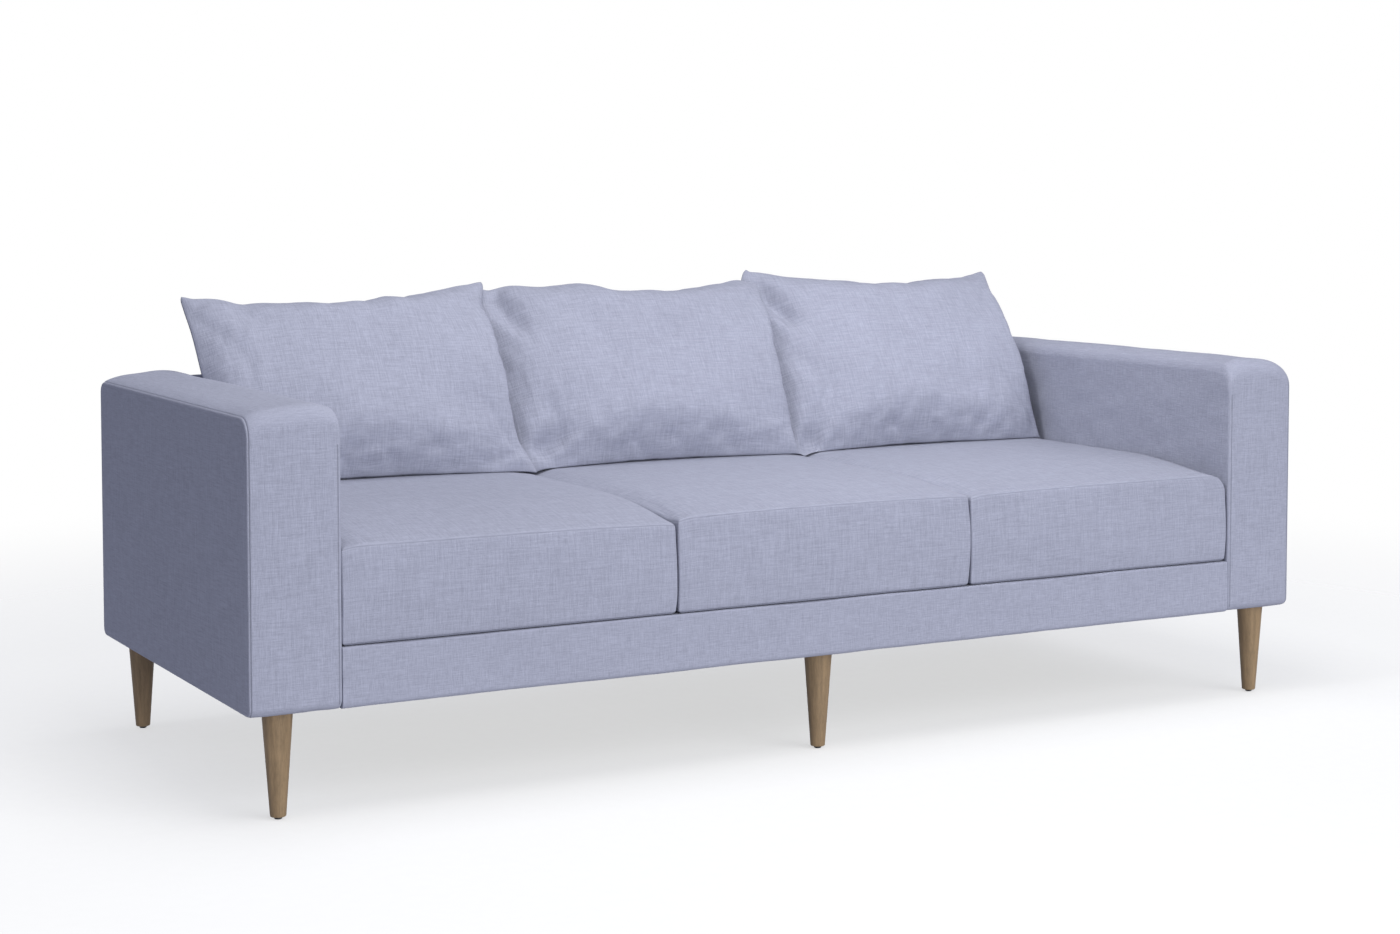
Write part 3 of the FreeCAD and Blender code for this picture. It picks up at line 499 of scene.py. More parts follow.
def make_arm(name, side, fabric):
    low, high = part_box(f"arm_cover_{name}")
    (points, faces), seam, stitch = arm_skin(low, high, side)
    normals = skin_normals(points, faces)
    outer_x = low.x if side < 0 else high.x
    inner = smooth_step(np.abs(points[:, 0] - outer_x), 60 * MM, 120 * MM)
    soft = ripple(points, 11 + side, 0.16) * 0.7 * MM
    soft += ripple(points, 21 + side, 0.045, (1, 2.2, 1)) * (0.22 + 0.25 * inner) * MM
    calm = smooth_step(seam, 2 * MM, 30 * MM)
    shaped = points + normals * (soft * calm)[:, None]
    skin, replaced = (shaped, faces), [f"arm_cover_{name}", f"arm_foam_{name}"]
    piece = f"arm_{name}_upholstery"
    add_cover(piece, skin, points, fabric, "base", replaced, seam, stitch)


def bar_skin(low, high, radii, spacing, steps, end_edge=0.8 * MM):
    """A skin that runs along X with the same rounded section all the way."""
    length = high.x - low.x
    ends = rounding_steps(end_edge, 3)
    inner = np.linspace(end_edge, length - end_edge, round(length / spacing))[1:-1]
    levels = [*ends, *inner, *[length - t for t in ends[::-1]]]
    rings = []
    for t in levels:
        inset = edge_inset(t, end_edge) + edge_inset(length - t, end_edge)
        corners = (low.y + inset, low.z + inset), (high.y - inset, high.z - inset)
        loop = ring(*corners, [max(r - inset, 1 * MM) for r in radii], steps)
        rings.append(np.column_stack([np.full(len(loop), low.x + t), loop]))
    return closed_skin(rings, steps)


def make_front_rail(fabric):
    low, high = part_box("front_rail_cover")
    radii = (9 * MM, 2 * MM, 2 * MM, 3 * MM)
    points, faces = bar_skin(low, high, radii, spacing=14 * MM, steps=(6, 12))
    front = points[:, 1] < low.y + 12 * MM
    normals = skin_normals(points, faces)
    soft = ripple(points, 5, 0.12, (2, 1, 1)) * 0.7 * MM
    soft += ripple(points, 6, 0.04, (2, 1, 1)) * 0.2 * MM
    shaped = points + normals * np.where(front, soft, 0)[:, None]
    skin, replaced = (shaped, faces), ["front_rail_cover", "front_rail_pad"]
    no_seam = np.full(len(points), 0.1)
    add_cover("front_rail_upholstery", skin, points, fabric, "base", replaced, no_seam)


BACK_CROWN = 6 * MM  # how far the padding rises over the back's seams
BACK_FRONT_EDGE, BACK_REAR_EDGE = 30 * MM, 24 * MM  # radii along the top


def back_box():
    low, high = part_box("back_cover")
    return low, high + Vector((0, 0, BACK_CROWN))


def make_back(fabric):
    low, high = back_box()
    radii = (3 * MM, 4 * MM, BACK_REAR_EDGE, BACK_FRONT_EDGE)
    points, faces = bar_skin(low, high, radii, spacing=22 * MM, steps=(5, 36))
    normals = skin_normals(points, faces)
    soft = ripple(points, 31, 0.2) * 0.9 * MM
    soft += ripple(points, 32, 0.06, (1, 1, 1.6)) * 0.25 * MM
    clear = smooth_step(points[:, 2], low.z, low.z + 40 * MM)
    shaped = points + normals * (soft * clear)[:, None]
    seam_z = high.z - BACK_REAR_EDGE
    rear_seam = np.hypot(points[:, 1] - high.y, points[:, 2] - seam_z)
    stitch = np.hypot(points[:, 1] - high.y, points[:, 2] - (seam_z - 5 * MM))
    skin, replaced = (shaped, faces), ["back_cover", "back_pad"]
    piece = "back_upholstery"
    add_cover(piece, skin, points, fabric, "base", replaced, rear_seam, stitch)


# -------------------- inflating cloth


def set_cloth(bag, pressure, stiffness, held):
    """Make a bag of cloth that air presses outwards, and that stays at the held points."""
    modifier = bag.modifiers.new("cloth", "CLOTH")
    cloth = modifier.settings
    cloth.quality = 5
    cloth.tension_stiffness = cloth.compression_stiffness = stiffness
    cloth.shear_stiffness = stiffness / 3
    cloth.bending_stiffness = 1.0
    cloth.use_pressure = True
    cloth.uniform_pressure_force = pressure
    cloth.effector_weights.gravity = 0
    if len(held):
        bag.vertex_groups.new(name="held").add([int(i) for i in held], 1.0, "REPLACE")
        cloth.vertex_group_mass = "held"
    return modifier


def inflate(skin, pressure, frames, stiffness, cap=None, held=()):
    """The skin's points after air pressure has swelled it as cloth, with no gravity. cap is
    the most that a point may move, and held are the numbers of the points that stay."""
    points, faces = skin
    mesh = bpy.data.meshes.new("inflating")
    mesh.from_pydata(points.tolist(), [], faces.tolist())
    bag = bpy.data.objects.new("inflating", mesh)
    scene = bpy.context.scene
    scene.collection.objects.link(bag)
    modifier = set_cloth(bag, pressure, stiffness, held)
    modifier.point_cache.frame_end = frames
    for step in range(1, frames + 1):
        scene.frame_set(step)
    graph = bpy.context.evaluated_depsgraph_get()
    swollen = bag.evaluated_get(graph).to_mesh()
    flat = np.zeros(len(points) * 3, np.float32)
    swollen.vertices.foreach_get("co", flat)
    bpy.data.objects.remove(bag)
    bpy.data.meshes.remove(mesh)
    scene.frame_set(1)
    move = flat.reshape(-1, 3) - points
    if cap:
        far = np.linalg.norm(move, axis=1)[:, None]
        move *= np.minimum(1, cap / np.maximum(far, 1e-9))
    return points + move


# -------------------- seat cushions

CUSHION_EDGE = 6 * MM
CUSHION_CORNER = 2.5 * MM
CUSHION_STEPS = (52, 64)
CUSHION_SWELL = Vector((0.8, 1.2, 0.6)) * MM  # what inflating adds at each side
# front_drop is how much lower the front is. The pairs are for the left and right side: how
# far the crown falls, and how much rounder the front panel's upper corner is.
SEAT_LOOKS = {
    "left": {"front_drop": 28 * MM, "fall": (0, 4.5 * MM), "corners": (4 * MM, 0)},
    "centre": {"front_drop": 19 * MM, "fall": (4.5 * MM, 3 * MM), "corners": (0, 0)},
    "right": {"front_drop": 19 * MM, "fall": (4.5 * MM, 0), "corners": (0, 34 * MM)},
}


def cushion_top(x, y, low, high, look):
    """Height over the floor of a seat cushion's top: it rises from the front in an arc,
    and rolls off at both sides, the left more than the right."""
    front_drop, rise_length = look["front_drop"], 280 * MM
    radius = (rise_length**2 + front_drop**2) / (2 * front_drop)
    short = np.clip(rise_length - (y - low.y), 0, rise_length)
    rise = radius - np.sqrt(radius**2 - short**2)
    middle, half = (low.x + high.x) / 2, (high.x - low.x) / 2
    left_roll, left_width, right_roll, right_width = 14 * MM, 36 * MM, 4 * MM, 30 * MM
    fallen = left_roll * np.clip(1 - (x - low.x) / left_width, 0, 1) ** 2
    fallen += right_roll * np.clip(1 - (high.x - x) / right_width, 0, 1) ** 2
    fallen *= 0.35 + 0.65 * smooth_step(y, low.y, low.y + 45 * MM)
    fallen += np.where(x < middle, *look["fall"]) * ((x - middle) / half) ** 2
    return high.z - rise - fallen


def cushion_skin(low, high):
    """A box cushion with a level top and narrow rounded edges."""
    height = high.z - low.z
    edges = rounding_steps(CUSHION_EDGE, 4)
    inner = np.linspace(CUSHION_EDGE, height - CUSHION_EDGE, 19)[1:-1]
    levels = [(0.0, 10 * MM), (0.0, 4 * MM)] + [(t, 0.0) for t in edges]
    levels += [(t, 0.0) for t in inner]
    levels += [(height - t, 0.0) for t in edges[::-1]]
    levels += [(height, 4 * MM), (height, 10 * MM)]
    rings = []
    for t, more in levels:
        inset = edge_inset(t, CUSHION_EDGE) + edge_inset(height - t, CUSHION_EDGE) + more
        corners = (low.x + inset, low.y + inset), (high.x - inset, high.y - inset)
        loop = ring(*corners, [max(CUSHION_CORNER - inset, 2 * MM)] * 4, CUSHION_STEPS)
        rings.append(np.column_stack([loop, np.full(len(loop), low.z + t)]))
    return closed_skin(rings, CUSHION_STEPS)


def cushion_seams(cloth, low, high):
    """How far each place on a seat cushion's cloth is from its two seams and its zip."""
    x, y, z = cloth.T
    edge = np.maximum(inside_distance(x, y, low.xy, high.xy, CUSHION_CORNER) - 2.5 * MM, 0)
    top_seam = np.hypot(z - high.z + 0.5 * CUSHION_EDGE, edge)
    low_seam = np.hypot(z - low.z - 0.5 * CUSHION_EDGE, edge)
    beyond = np.abs(x - (low.x + high.x) / 2) - (high.x - low.x) / 2 + 25 * MM
    rear_zip = np.hypot(z - (low.z + high.z) / 2, high.y - y) + np.maximum(beyond, 0)
    return np.minimum(top_seam, low_seam), rear_zip


def shape_front(points, low, high, roof, corners):
    """Round the corners of a cushion's front panel, which swells forwards and to the
    right between them. The shape fades out towards the rear."""
    lower_corner, bulge, belly = 4 * MM, 3 * MM, 4 * MM
    middle, half = (low.x + high.x) / 2, (high.x - low.x) / 2
    aside = (points[:, 0] - middle) / half
    above, under = points[:, 2] - low.z, roof - points[:, 2]
    drawn = edge_inset(under, np.where(aside < 0, *corners))
    drawn += edge_inset(above, lower_corner)
    share = above / (above + under)
    drawn += np.where(aside > 0, bulge, 0) * (2 * share - 1) ** 2
    near = 1 - smooth_step(points[:, 1], low.y + 10 * MM, low.y + 300 * MM)
    points[:, 0] -= aside**3 * drawn * near
    forward = 1 - smooth_step(points[:, 1], low.y, low.y + 50 * MM)
    points[:, 1] -= belly * np.clip(1 - (2 * share - 0.8) ** 2, 0, 1) * forward


def make_seat_cushion(name, seat, fabric):
    low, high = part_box(f"seat_cushion_cover_{name}")
    look = SEAT_LOOKS[name]
    low_in, high_in = low + CUSHION_SWELL, high - CUSHION_SWELL
    cloth, faces = cushion_skin(low_in, high_in)
    x, y, z = cloth.T
    seam, rear_zip = cushion_seams(cloth, low_in, high_in)
    roof = cushion_top(x, y, low_in, high_in, look)
    points = cloth.copy()
    points[:, 2] = low_in.z + (z - low_in.z) / (high_in.z - low_in.z) * (roof - low_in.z)
    shape_front(points, low_in, high_in, roof, look["corners"])
    held = np.flatnonzero((seam < 3.5 * MM) | (z < low_in.z + 1 * MM))
    skin = points, faces
    points = inflate(skin, pressure=4, frames=12, stiffness=60, cap=6 * MM, held=held)
    normals = skin_normals(points, faces)
    calm = smooth_step(seam, 2 * MM, 45 * MM)
    soft = ripple(points, 61 + seat, 0.16) * 1.0 * MM
    soft += ripple(points, 71 + seat, 0.05, (1.5, 1, 1)) * 0.2 * MM
    pinch = 0.8 * hump(seam, 0, 2.2 * MM) + 1.2 * hump(rear_zip, 0, 5 * MM)
    points = points + normals * (soft * calm - pinch * MM)[:, None]
    front_room, top_room = 5 * MM, 0.5 * MM
    points[:, 0] = np.clip(points[:, 0], low.x, high.x)
    points[:, 1] = np.clip(points[:, 1], low.y - front_room, high.y)
    ceiling = cushion_top(points[:, 0], points[:, 1], low, high, look) + top_room
    points[:, 2] = np.clip(points[:, 2], low.z, ceiling)
    # The seam distance is pushed out 0.3 mm, so that the painted seam shade of the cloth is
    # weaker on the seat cushions.
    piece, seams = f"seat_cushion_{name}", np.minimum(seam + 0.3 * MM, rear_zip)
    replaced = [f"seat_cushion_cover_{name}", f"seat_cushion_core_{name}"]
    add_cover(piece, (points, faces), cloth, fabric, piece, replaced, seams)


# -------------------- back pillows

PILLOW = {
    "width": 0.626,  # seam to seam, laid flat
    "length": 0.430,
    "lean": math.radians(34),
    "turn": math.radians(-1.5),
    "cell": 7 * MM,
}


def pillow_skin():
    """A bag of two panels sewn round their edges, nearly flat, in its own frame: X across,
    Y up its length from the middle of its lower seam, Z towards the sitter. Returns the
    skin and each point's place across (-1 to 1) and up (0 to 1) the panel."""
    across, up = round(PILLOW["width"] / PILLOW["cell"]), round(PILLOW["length"] / PILLOW["cell"])
    places = np.linspace(-1, 1, across + 1), np.linspace(0, 1, up + 1)
    grid_u, grid_v = np.meshgrid(*places, indexing="ij")
    rim = np.ones_like(grid_u, bool)
    rim[1:-1, 1:-1] = False
    front = np.arange(grid_u.size).reshape(grid_u.shape)
    back = front.copy()
    back[~rim] = grid_u.size + np.arange((~rim).sum())
    u = np.concatenate([grid_u.ravel(), grid_u[~rim]])
    v = np.concatenate([grid_v.ravel(), grid_v[~rim]])
    facing = np.concatenate([np.where(rim, 0, 1).ravel(), -np.ones((~rim).sum())])
    swell = 8 * MM * (1 - u**2) * (1 - (2 * v - 1) ** 2)
    points = np.column_stack([u * PILLOW["width"] / 2, v * PILLOW["length"], swell * facing])
    faces = np.concatenate([quads(front), quads(back)[:, ::-1]])
    return (points, faces), u, v


def plump(u, v):
    """Thickness of a full pillow at each place, from 0 to 1."""
    return ((1 - u**2) * (1 - (2 * v - 1) ** 2)) ** 0.62


def round_corner(a, b, radius):
    """How far to draw in a point that lies a and b inside two edges, along each of them,
    so that the edges meet in a rounded corner."""
    far_a, far_b = np.maximum(radius - a, 0), np.maximum(radius - b, 0)
    share = 1 - np.maximum(far_a, far_b) / np.maximum(np.hypot(far_a, far_b), 1e-9)
    return far_a * share, far_b * share


def pillow_outline(points, u, v, look):
    """Each point's place across and up its pillow, which has its own outline as it leans."""
    half, length = PILLOW["width"] / 2, PILLOW["length"]
    flat_x, flat_y = u * half, v * length
    kept_width, kept_length = 0.15 + 1.10 * smooth_step(u, -0.6, 0.6), 0.35
    x = flat_x + (points[:, 0] - flat_x) * kept_width
    for pull, middle, width in look["pulls"]:
        x -= pull * MM * hump(u, 1, 0.4) * hump(v, middle, width)
    x -= look["lap"] * MM * hump(u, -1, 0.4) * np.sin(math.pi * v) ** 0.5
    x += look["ear"] * MM * hump(u, 1, 0.14) * hump(v, 0, 0.11)

    top_edge = look["top_edge"]
    edge = np.interp(u, np.linspace(-1, 1, len(top_edge)), top_edge) * MM
    along = np.column_stack([flat_x, 0 * u, 0 * u])
    scallops = 4.5 * MM * (np.abs(ripple(along, look["seed"], 0.12)) - 0.6)
    y = flat_y + (points[:, 1] - flat_y) * kept_length
    y = y + (edge + scallops) * smooth_step(v, 0.6, 1.0)

    horns, most_rise = hump(np.abs(u), 1, 0.06) * hump(v, 1, 0.11), 12
    x += np.where(u < 0, *look["horns"]) * MM * horns
    y += np.where(u < 0, most_rise, min(look["horns"][1], most_rise)) * MM * horns
    left_tip, lower_tip = 16, 12
    top_corner = np.where(u > 0, look["shoulder"], left_tip) * MM
    corner = np.where(v > 0.5, top_corner, lower_tip * MM)
    in_x, in_y = round_corner(half * (1 - np.abs(u)), length * np.minimum(v, 1 - v), corner)
    return x - np.sign(u) * in_x, y + np.where(v > 0.5, -1, 1) * in_y


def prop_pillow(points, u, v, look):
    """The swollen bag slimmed and bowed as it leans. Its upper corners bend back, and its
    left side tucks in behind the next pillow."""
    x, y = pillow_outline(points, u, v, look)
    slimming, fullness, tip_bend = 0.90, 17 * MM, 16 * MM
    right = smooth_step(u, -0.6, 0.6)
    centre = fullness * plump(u, v)
    bow = (14 + 10 * right) * MM * np.sin(math.pi * v**1.15) * u**2
    tips = hump(np.abs(u), 1, 0.12) * hump(v, 1, 0.14)
    tuck = look["tuck"] * MM * hump(u, -1, 0.35) * smooth_step(v, 0.3, 0.8)
    z = points[:, 2] * slimming + centre + bow - tip_bend * tips - tuck
    return np.column_stack([x, y, z])


def crease(u, v, start, end, wide):
    """1 on a line across the panel, fading over wide and towards the line's ends."""
    a, b = np.array(start), np.array(end)
    along = ((u - a[0]) * (b - a)[0] + (v - a[1]) * (b - a)[1]) / ((b - a) @ (b - a))
    along = np.clip(along, 0, 1)
    gone = np.hypot(u - a[0] - along * (b - a)[0], v - a[1] - along * (b - a)[1])
    return np.exp(-((gone / wide) ** 2)) * np.sin(math.pi * (0.1 + 0.8 * along))


def rumple_pillow(local, front, u, v, look):
    """Unevenness of the filling, wrinkles near the edges, and deeper creases in front."""
    full = plump(u, v)
    rumples = [  # size, stretch, height in mm, and where
        (0.15, (1, 1, 1), 2.0, full),
        (0.05, (1, 2, 1), 0.7, full),
        (0.024, (1, 5, 1), 1.3, hump(u, -1, 0.45)),
        (0.030, (1, 3, 1), 0.8, hump(v, 1, 0.25)),
        (0.055, (1, 2, 1), 1.5, hump(v, 0.08, 0.14)),
        (0.032, (1.6, 1, 1), 2.4, hump(v, 0.06, 0.08)),
    ]
    soft = 0.0
    for i, (size, stretch, height, where) in enumerate(rumples, 1):
        soft += ripple(local, look["seed"] + i, size, stretch) * height * where
    from_seam = np.minimum(1 - np.abs(u), 1 - np.abs(2 * v - 1))
    soft *= smooth_step(from_seam, 0, 0.12)
    local[:, 2] += np.where(front, 1, -1) * soft * MM
    for start, end, wide, deep in look["creases"]:
        dent = deep * MM * crease(u, v, start, end, wide) * smooth_step(from_seam, 0, 0.05)
        room = 0.8 * np.maximum(local[:, 2] + 6 * MM, 0)
        local[:, 2] -= np.where(front, np.minimum(dent, room), 0)


def lean_pillow(local, name):
    """Stand a pillow on its seat, leaning back and turned a little."""
    low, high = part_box(f"back_pillow_cover_{name}")
    middle, lean, turn = (low.x + high.x) / 2, PILLOW["lean"], PILLOW["turn"]
    foot_y, foot_z = low.y + 8 * MM, low.z + 2 * MM
    x, y, z = local.T
    back = foot_y + y * math.sin(lean) - z * math.cos(lean) + x * math.sin(turn)
    up = foot_z + y * math.cos(lean) + z * math.sin(lean)
    return np.column_stack([middle + x, back, up])


def make_pillow(name, fabric, swollen, look):
    (points, faces), u, v = swollen
    front = points[:, 2] >= 0
    local = prop_pillow(points, u, v, look)
    rumple_pillow(local, front, u, v, look)
    world = rest_pillow(lean_pillow(local, name), name)
    half, length = PILLOW["width"] / 2, PILLOW["length"]
    rim = np.minimum(1 - np.abs(u), np.minimum(v, 1 - v) * 1.4) * half
    cloth = np.column_stack([u * half, v * length, np.sign(points[:, 2]) * 50 * MM])
    piece = f"back_pillow_{name}"
    replaced = [f"back_pillow_cover_{name}", f"back_pillow_filling_{name}"]
    add_cover(piece, (world, faces), cloth, fabric, piece, replaced, rim)


def seat_height(x, y, own):
    """Height of the seat under each place of a pillow that stands on its own cushion and
    may reach over the next one."""
    low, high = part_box(f"seat_cushion_cover_{own}")
    height = cushion_top(x, y, low, high, SEAT_LOOKS[own])
    for name, look in SEAT_LOOKS.items():
        low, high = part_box(f"seat_cushion_cover_{name}")
        over = (x > low.x - 1 * MM) & (x < high.x + 1 * MM)
        height = np.where(over, np.maximum(height, cushion_top(x, y, low, high, look)), height)
    return height


def rest_pillow(points, name):
    """Keep a pillow on its seat cushion, in front of the back's rounded top, and from
    reaching far out behind it."""
    clear, sink, sink_fade, overhang = 1.5 * MM, 22 * MM, 60 * MM, 12 * MM
    seat = seat_height(points[:, 0], points[:, 1], name) + clear
    above = np.maximum(points[:, 2] - seat, 0)
    points[:, 2] = seat + np.maximum(above - sink * np.exp(-above / sink_fade), 0)
    back_low, back_high = back_box()
    radius = BACK_FRONT_EDGE
    axis_y, axis_z = back_low.y + radius, back_high.z - radius
    below = points[:, 2] < axis_z
    points[:, 1] = np.where(below, np.minimum(points[:, 1], back_low.y - clear), points[:, 1])
    dy, dz = points[:, 1] - axis_y, points[:, 2] - axis_z
    gone = np.hypot(dy, dz)
    inside = (~below) & (gone < radius + clear) & (dz >= 0)
    push = np.where(inside, (radius + clear) / np.maximum(gone, 1e-6), 1)
    points[:, 1] = axis_y + dy * push
    points[:, 2] = axis_z + dz * push
    over = np.maximum(points[:, 1] - back_high.y, 0)
    points[:, 1] -= over - over / (1 + over / overhang)
    return points


# What sets each pillow apart, in mm. top_edge is the height of its upper seam at even steps
# from left to right. pulls draw the right side in by the first number, round a place up the
# pillow and over a width. lap is how far the left side reaches out, tuck how far it lies
# behind the next pillow, ear how far the lower right corner sticks out, horns the same for
# the upper left and right ones, and shoulder the radius of the upper right one. Each crease
# has its two ends, as shares across (-1 to 1) and up (0 to 1), its width and its depth.
PILLOW_LOOKS = {
    "left": {
        "seed": 101,
        "top_edge": (-23, -40, -34, -34, -30, -18, -2),
        "pulls": [(9, 0.16, 0.13), (9, 0.84, 0.11)],
        "lap": 0, "tuck": 0, "ear": 15,
        "horns": (3, 14),
        "shoulder": 18,
        "creases": [
            ((-0.95, 0.85), (-0.75, 0.5), 0.06, 8),
            ((-0.8, 0.9), (-0.55, 0.75), 0.07, 5),
            ((0.2, 0.35), (0.9, 0.2), 0.12, 6),
            ((0.6, 0.05), (0.95, 0.12), 0.06, 7),
        ],
    },
    "centre": {
        "seed": 202,
        "top_edge": (-16, -15, -7, -24, -28, -20, -8),
        "pulls": [(9, 0.10, 0.16), (-17, 0.72, 0.22), (-14, 0.95, 0.15)],
        "lap": 15, "tuck": 8, "ear": 0,
        "horns": (3, 8),
        "shoulder": 34,
        "creases": [
            ((-0.92, 0.98), (-0.80, 0.62), 0.06, 24),
            ((-0.92, 0.08), (-0.70, 0.14), 0.045, 24),
            ((-0.95, 0.45), (-0.75, 0.2), 0.06, 6),
            ((-0.5, 0.75), (-0.3, 0.45), 0.06, 4),
            ((-0.1, 0.5), (0.3, 0.65), 0.06, 3),
        ],
    },
    "right": {
        "seed": 303,
        "top_edge": (14, -2, -11, -21, -18, -22, -6),
        "pulls": [(9, 0.16, 0.13), (5, 0.60, 0.18), (2, 0.84, 0.11)],
        "lap": 15, "tuck": 10, "ear": -8,
        "horns": (13, 14),
        "shoulder": 18,
        "creases": [
            ((-0.90, 0.88), (-0.76, 0.62), 0.055, 32),
            ((-0.95, 0.03), (-0.80, 0.10), 0.045, 26),
            ((-0.9, 0.5), (-0.7, 0.3), 0.05, 6),
            ((0.0, 0.3), (0.5, 0.2), 0.10, 5),
        ],
    },
}


def make_pillows(fabric):
    skin, u, v = pillow_skin()
    points = inflate(skin, pressure=4, frames=20, stiffness=80)
    for name, look in PILLOW_LOOKS.items():
        make_pillow(name, fabric, ((points, skin[1]), u, v), look)


# -------------------- cloths of the seat frame

STAPLE_PITCH = 66 * MM


def make_frame_cloth(name, material, slot, thickness, sag):
    """A cloth stretched over the seat frame. It dips by sag in the middle, is slack between
    its staples, and has a turned-in hem."""
    low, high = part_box(name)
    across, along = 131, 51
    index = np.arange(across * along).reshape(across, along)
    rows, columns = np.linspace(low.x, high.x, across), np.linspace(low.y, high.y, along)
    x, y = (places.ravel() for places in np.meshgrid(rows, columns, indexing="ij"))
    edge = np.minimum(np.minimum(x - low.x, high.x - x), np.minimum(y - low.y, high.y - y))
    slack = np.cos((x - low.x) / STAPLE_PITCH * 2 * math.pi)
    slack += np.cos((y - low.y) / STAPLE_PITCH * 2 * math.pi)
    z = (low.z + high.z) / 2 - sag * smooth_step(edge, 25 * MM, 250 * MM)
    z = z + 0.35 * MM * slack * hump(edge, 30 * MM, 25 * MM)
    z = z - 0.5 * MM * (1 - smooth_step(edge, 22 * MM, 25 * MM))
    points = np.column_stack([x, y, z])
    piece = add_piece(f"{name}_sheet", (points, quads(index)), material, "base", slot, [name])
    shell = piece.modifiers.new("thickness", "SOLIDIFY")
    shell.thickness, shell.offset = thickness, 0


def staple_skin(x, y, z, turned):
    """A staple's crown, 11 mm long, seen from under the sofa."""
    half, wire, around, levels = 5.5 * MM, 0.45 * MM, 8, 9
    angles = np.arange(around) * 2 * math.pi / around
    rings = []
    for s in np.linspace(-1, 1, levels):
        thick = wire * math.sqrt(max(1 - s**8, 0.01))
        along = np.full(around, half * s)
        across = thick * np.cos(angles)
        height = z - 0.7 * MM * (1 - s**6) + thick * np.sin(angles)
        plan = (across, along) if turned else (along, across)
        rings.append(np.column_stack([x + plan[0], y + plan[1], height]))
    return np.concatenate(rings), tube_faces(levels, around)


def make_staples(steel):
    """The row of staples that holds the dust cover up, all round its edge."""
    low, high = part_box("dust_cover")
    inset = 12 * MM
    spots = []
    first_x, end_x = low.x + 40 * MM, high.x - 30 * MM
    first_y, end_y = low.y + 60 * MM, high.y - 50 * MM
    for x in np.arange(first_x, end_x, STAPLE_PITCH):
        spots += [(x, low.y + inset, False), (x, high.y - inset, False)]
    for y in np.arange(first_y, end_y, STAPLE_PITCH):
        spots += [(low.x + inset, y, True), (high.x - inset, y, True)]
    skins = [staple_skin(x, y, low.z - 0.2 * MM, turned) for x, y, turned in spots]
    points = np.concatenate([skin[0] for skin in skins])
    count = len(skins[0][0])
    faces = np.concatenate([skin[1] + i * count for i, skin in enumerate(skins)])
    add_piece("dust_cover_staples", (points, faces), steel, "base", "zinc_steel")


def make_frame_cloths():
    dust = woven_material("dust_cloth", (0.03, 0.03, 0.03), 0.7 * MM)
    make_frame_cloth("dust_cover", dust, "dust_cloth", 0.7 * MM, 3.5 * MM)
    deck = woven_material("deck_cloth", (0.10, 0.10, 0.12), 0.8 * MM)
    make_frame_cloth("seat_deck_cloth", deck, "deck_cloth", 0.9 * MM, 0)
    grey = (0.6, 0.6, 0.58)
    steel = grained_material("staple_steel", grey, 0.4 * MM, 0.35, 0.02 * MM, metallic=1.0)
    make_staples(steel)


# -------------------- legs and what stays CAD


def leg_outline(top, height):
    """The radius and height of each ring of a leg, from its eased foot to its wide top."""
    foot, ease, ease_steps, steps = 13 * MM, 2 * MM, 4, 24
    outline = [(foot - ease, 0.0)]
    for i in range(1, ease_steps + 1):
        angle = math.pi / 2 * i / ease_steps
        outline.append((foot - ease + ease * math.sin(angle), ease - ease * math.cos(angle)))
    for i in range(1, steps + 1):
        share = i / steps
        outline.append((foot + (top - foot) * share, ease + (height - ease) * share))
    return outline


def leg_skin(low, high):
    """A tapered round leg, with a fan of quads on each end."""
    x, y = (low.x + high.x) / 2, (low.y + high.y) / 2
    around = 48
    angles = np.arange(around) * 2 * math.pi / around
    rings = []
    for r, z in leg_outline((high.x - low.x) / 2, high.z - low.z):
        loop = x + r * np.cos(angles), y + r * np.sin(angles), np.full(around, low.z + z)
        rings.append(np.column_stack(loop))
    points = np.concatenate([*rings, [(x, y, low.z), (x, y, high.z)]])
    sides = tube_faces(len(rings), around)[:, ::-1]
    bottom, top = len(points) - 2, len(points) - 1
    last = bottom - around
    ends = []
    for a in range(0, around, 2):
        b, c = a + 1, (a + 2) % around
        ends.append((bottom, c, b, a))
        ends.append((top, last + a, last + b, last + c))
    return points, np.concatenate([sides, np.array(ends)])


def make_legs(wood):
    for node in sorted(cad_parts):
        if node.startswith("leg_front") or node.startswith("leg_rear"):
            skin = leg_skin(*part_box(node))
            piece = add_piece(f"{node}_turned", skin, wood, "base", "leg_wood", [node])
            piece.data.set_sharp_from_angle(angle=math.radians(60))


def dress_frame():
    """Give every CAD node its own stuff, the hidden ones too."""
    pine = wood_material("frame_pine", (0.55, 0.40, 0.24), along=0)
    board = grained_material("hardboard", (0.24, 0.13, 0.06), 0.8 * MM, 0.7, 0.1 * MM)
    foam = grained_material("foam", (0.75, 0.68, 0.45), 1.2 * MM, 0.9, 0.6 * MM)
    fibre = grained_material("fibre", (0.85, 0.85, 0.83), 2 * MM, 0.95, 1.0 * MM)
    webbing = woven_material("webbing", (0.30, 0.26, 0.20), 1.6 * MM)
    plastic = grained_material("glide_plastic", (0.02, 0.02, 0.02), 0.4 * MM, 0.4, 0.05 * MM)
    zinc = grained_material("zinc", (0.6, 0.6, 0.58), 0.6 * MM, 0.35, 0.02 * MM, metallic=1.0)
    stuffs = {
        "panel": board,
        "foam": foam,
        "core": foam,
        "pad": foam,
        "filling": fibre,
        "webbing": webbing,
        "glides": plastic,
        "bolts": zinc,
        "nuts": zinc,
    }
    for name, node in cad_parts.items():
        stuff = next((stuffs[word] for word in stuffs if word in name), pine)
        node.data.materials.clear()
        node.data.materials.append(stuff)


# -------------------- camera, light and floor


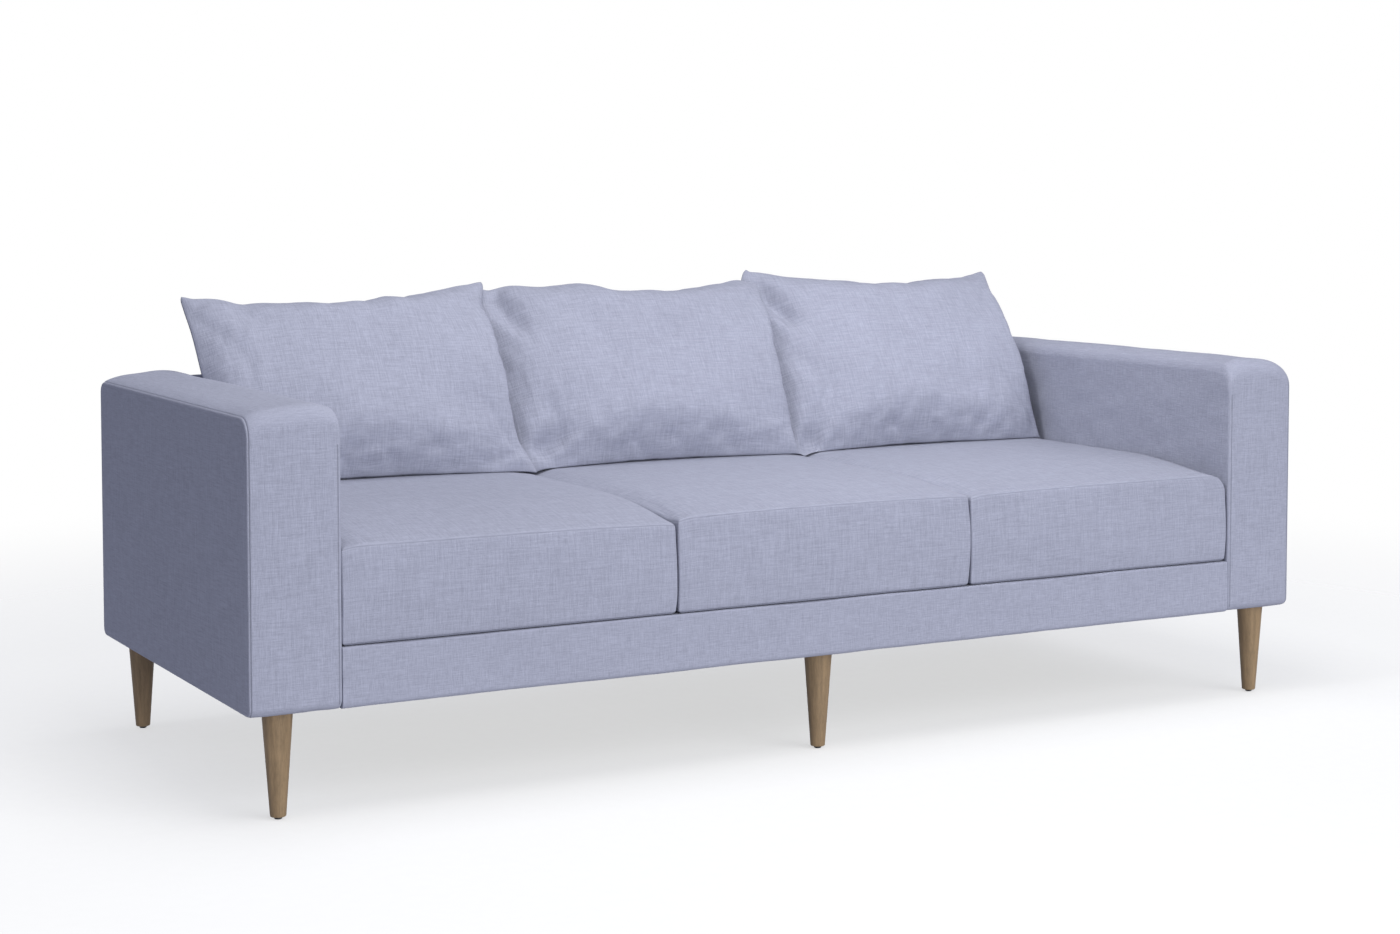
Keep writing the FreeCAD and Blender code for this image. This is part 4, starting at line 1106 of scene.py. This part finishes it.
def make_camera():
    """The photograph's viewpoint."""
    data = bpy.data.cameras.new("camera")
    data.lens = 62.797
    data.sensor_width = 36
    data.shift_y = -0.10
    data.clip_end = 60
    camera = bpy.data.objects.new("camera", data)
    camera.location = (-2.2849, -4.0430, 1.0067)
    camera.rotation_euler = (math.radians(90 - 3.354), 0, math.radians(-29.115))
    bpy.context.scene.collection.objects.link(camera)
    bpy.context.scene.camera = camera


def area_light(name, place, aim, size, power, spread=180, colour=(1, 1, 1)):
    data = bpy.data.lights.new(name, "AREA")
    data.shape, data.size, data.size_y = "RECTANGLE", *size
    data.energy, data.spread, data.color = power, math.radians(spread), colour
    light = bpy.data.objects.new(name, data)
    light.location = place
    toward = Vector(aim) - Vector(place)
    light.rotation_euler = toward.to_track_quat("-Z", "Y").to_euler()
    bpy.context.scene.collection.objects.link(light)


def make_world():
    """A white studio: plain white to look at, with only part of it lighting the sofa."""
    world = bpy.data.worlds.new("studio")
    world.use_nodes = True
    bpy.context.scene.world = world
    tree = world.node_tree
    background = tree.nodes["Background"]
    seen = tree.nodes.new("ShaderNodeLightPath").outputs["Is Camera Ray"]
    strength = tree.nodes.new("ShaderNodeMapRange")
    lighting = 0.38
    strength.inputs["To Min"].default_value = lighting
    strength.inputs["To Max"].default_value = 1.0
    tree.links.new(seen, strength.inputs["Value"])
    tree.links.new(strength.outputs[0], background.inputs["Strength"])
    colour = tree.nodes.new("ShaderNodeMix")
    colour.data_type = "RGBA"
    colour.inputs["A"].default_value = (0.96, 1.0, 1.2, 1)
    colour.inputs["B"].default_value = (1, 1, 1, 1)
    tree.links.new(seen, colour.inputs["Factor"])
    tree.links.new(colour.outputs["Result"], background.inputs["Color"])


def make_floor():
    """A pale floor that fades into the white round it."""
    data = bpy.data.meshes.new("floor")
    around, reach, below = 96, 9.0, 0.5 * MM
    rim = [
        (reach * math.cos(a), reach * math.sin(a), -below)
        for a in np.arange(around) * 2 * math.pi / around
    ]
    data.from_pydata(rim, [], [tuple(range(around))])
    n = Nodes("pale_floor")
    grain = n.noise((40, 40, 40), 3.0)
    pale = n.mix(grain, (0.90, 0.90, 0.90, 1), (0.93, 0.93, 0.93, 1))
    material = n.finish(pale, 0.8, grain, 0.1 * MM, Specular_IOR_Level=0.1)
    length = n.add("VectorMath", {"operation": "LENGTH"}, Vector=n.place())
    fade_start, fade_end, cover = 1.3, 3.4, 0.4
    alpha = n.ramp(length.outputs["Value"], fade_start, fade_end, cover, 0.0)
    n.feed(n.shader.inputs["Alpha"], alpha)
    data.materials.append(material)
    floor = bpy.data.objects.new("floor", data)
    bpy.context.scene.collection.objects.link(floor)


def make_studio():
    bpy.context.scene.view_settings.view_transform = "Standard"
    make_world()
    make_floor()
    area_light("key", (4.6, -8.0, 6.0), (0, 0, 0.4), (6.0, 4.0), 350)
    area_light("front", (0.0, -8.5, 1.8), (0, 0, 0.4), (5.0, 2.0), 350)
    warm, over_seats = (1.0, 0.99, 0.965), (-0.35, -0.2, 0.4)
    area_light("overhead", (-0.35, -0.45, 3.4), over_seats, (1.5, 2.8), 62, colour=warm)
    area_light("cross", (-0.9, -0.4, 1.75), (0.95, -0.1, 0.45), (0.4, 1.0), 1.3, spread=45)


def main():
    make_camera()
    dress_frame()
    fabric = fabric_material()
    for name, side in SIDES.items():
        make_arm(name, side, fabric)
    make_front_rail(fabric)
    make_back(fabric)
    for name, seat in SEATS.items():
        make_seat_cushion(name, seat, fabric)
    make_pillows(fabric)
    make_legs(wood_material())
    make_frame_cloths()
    make_studio()


main()
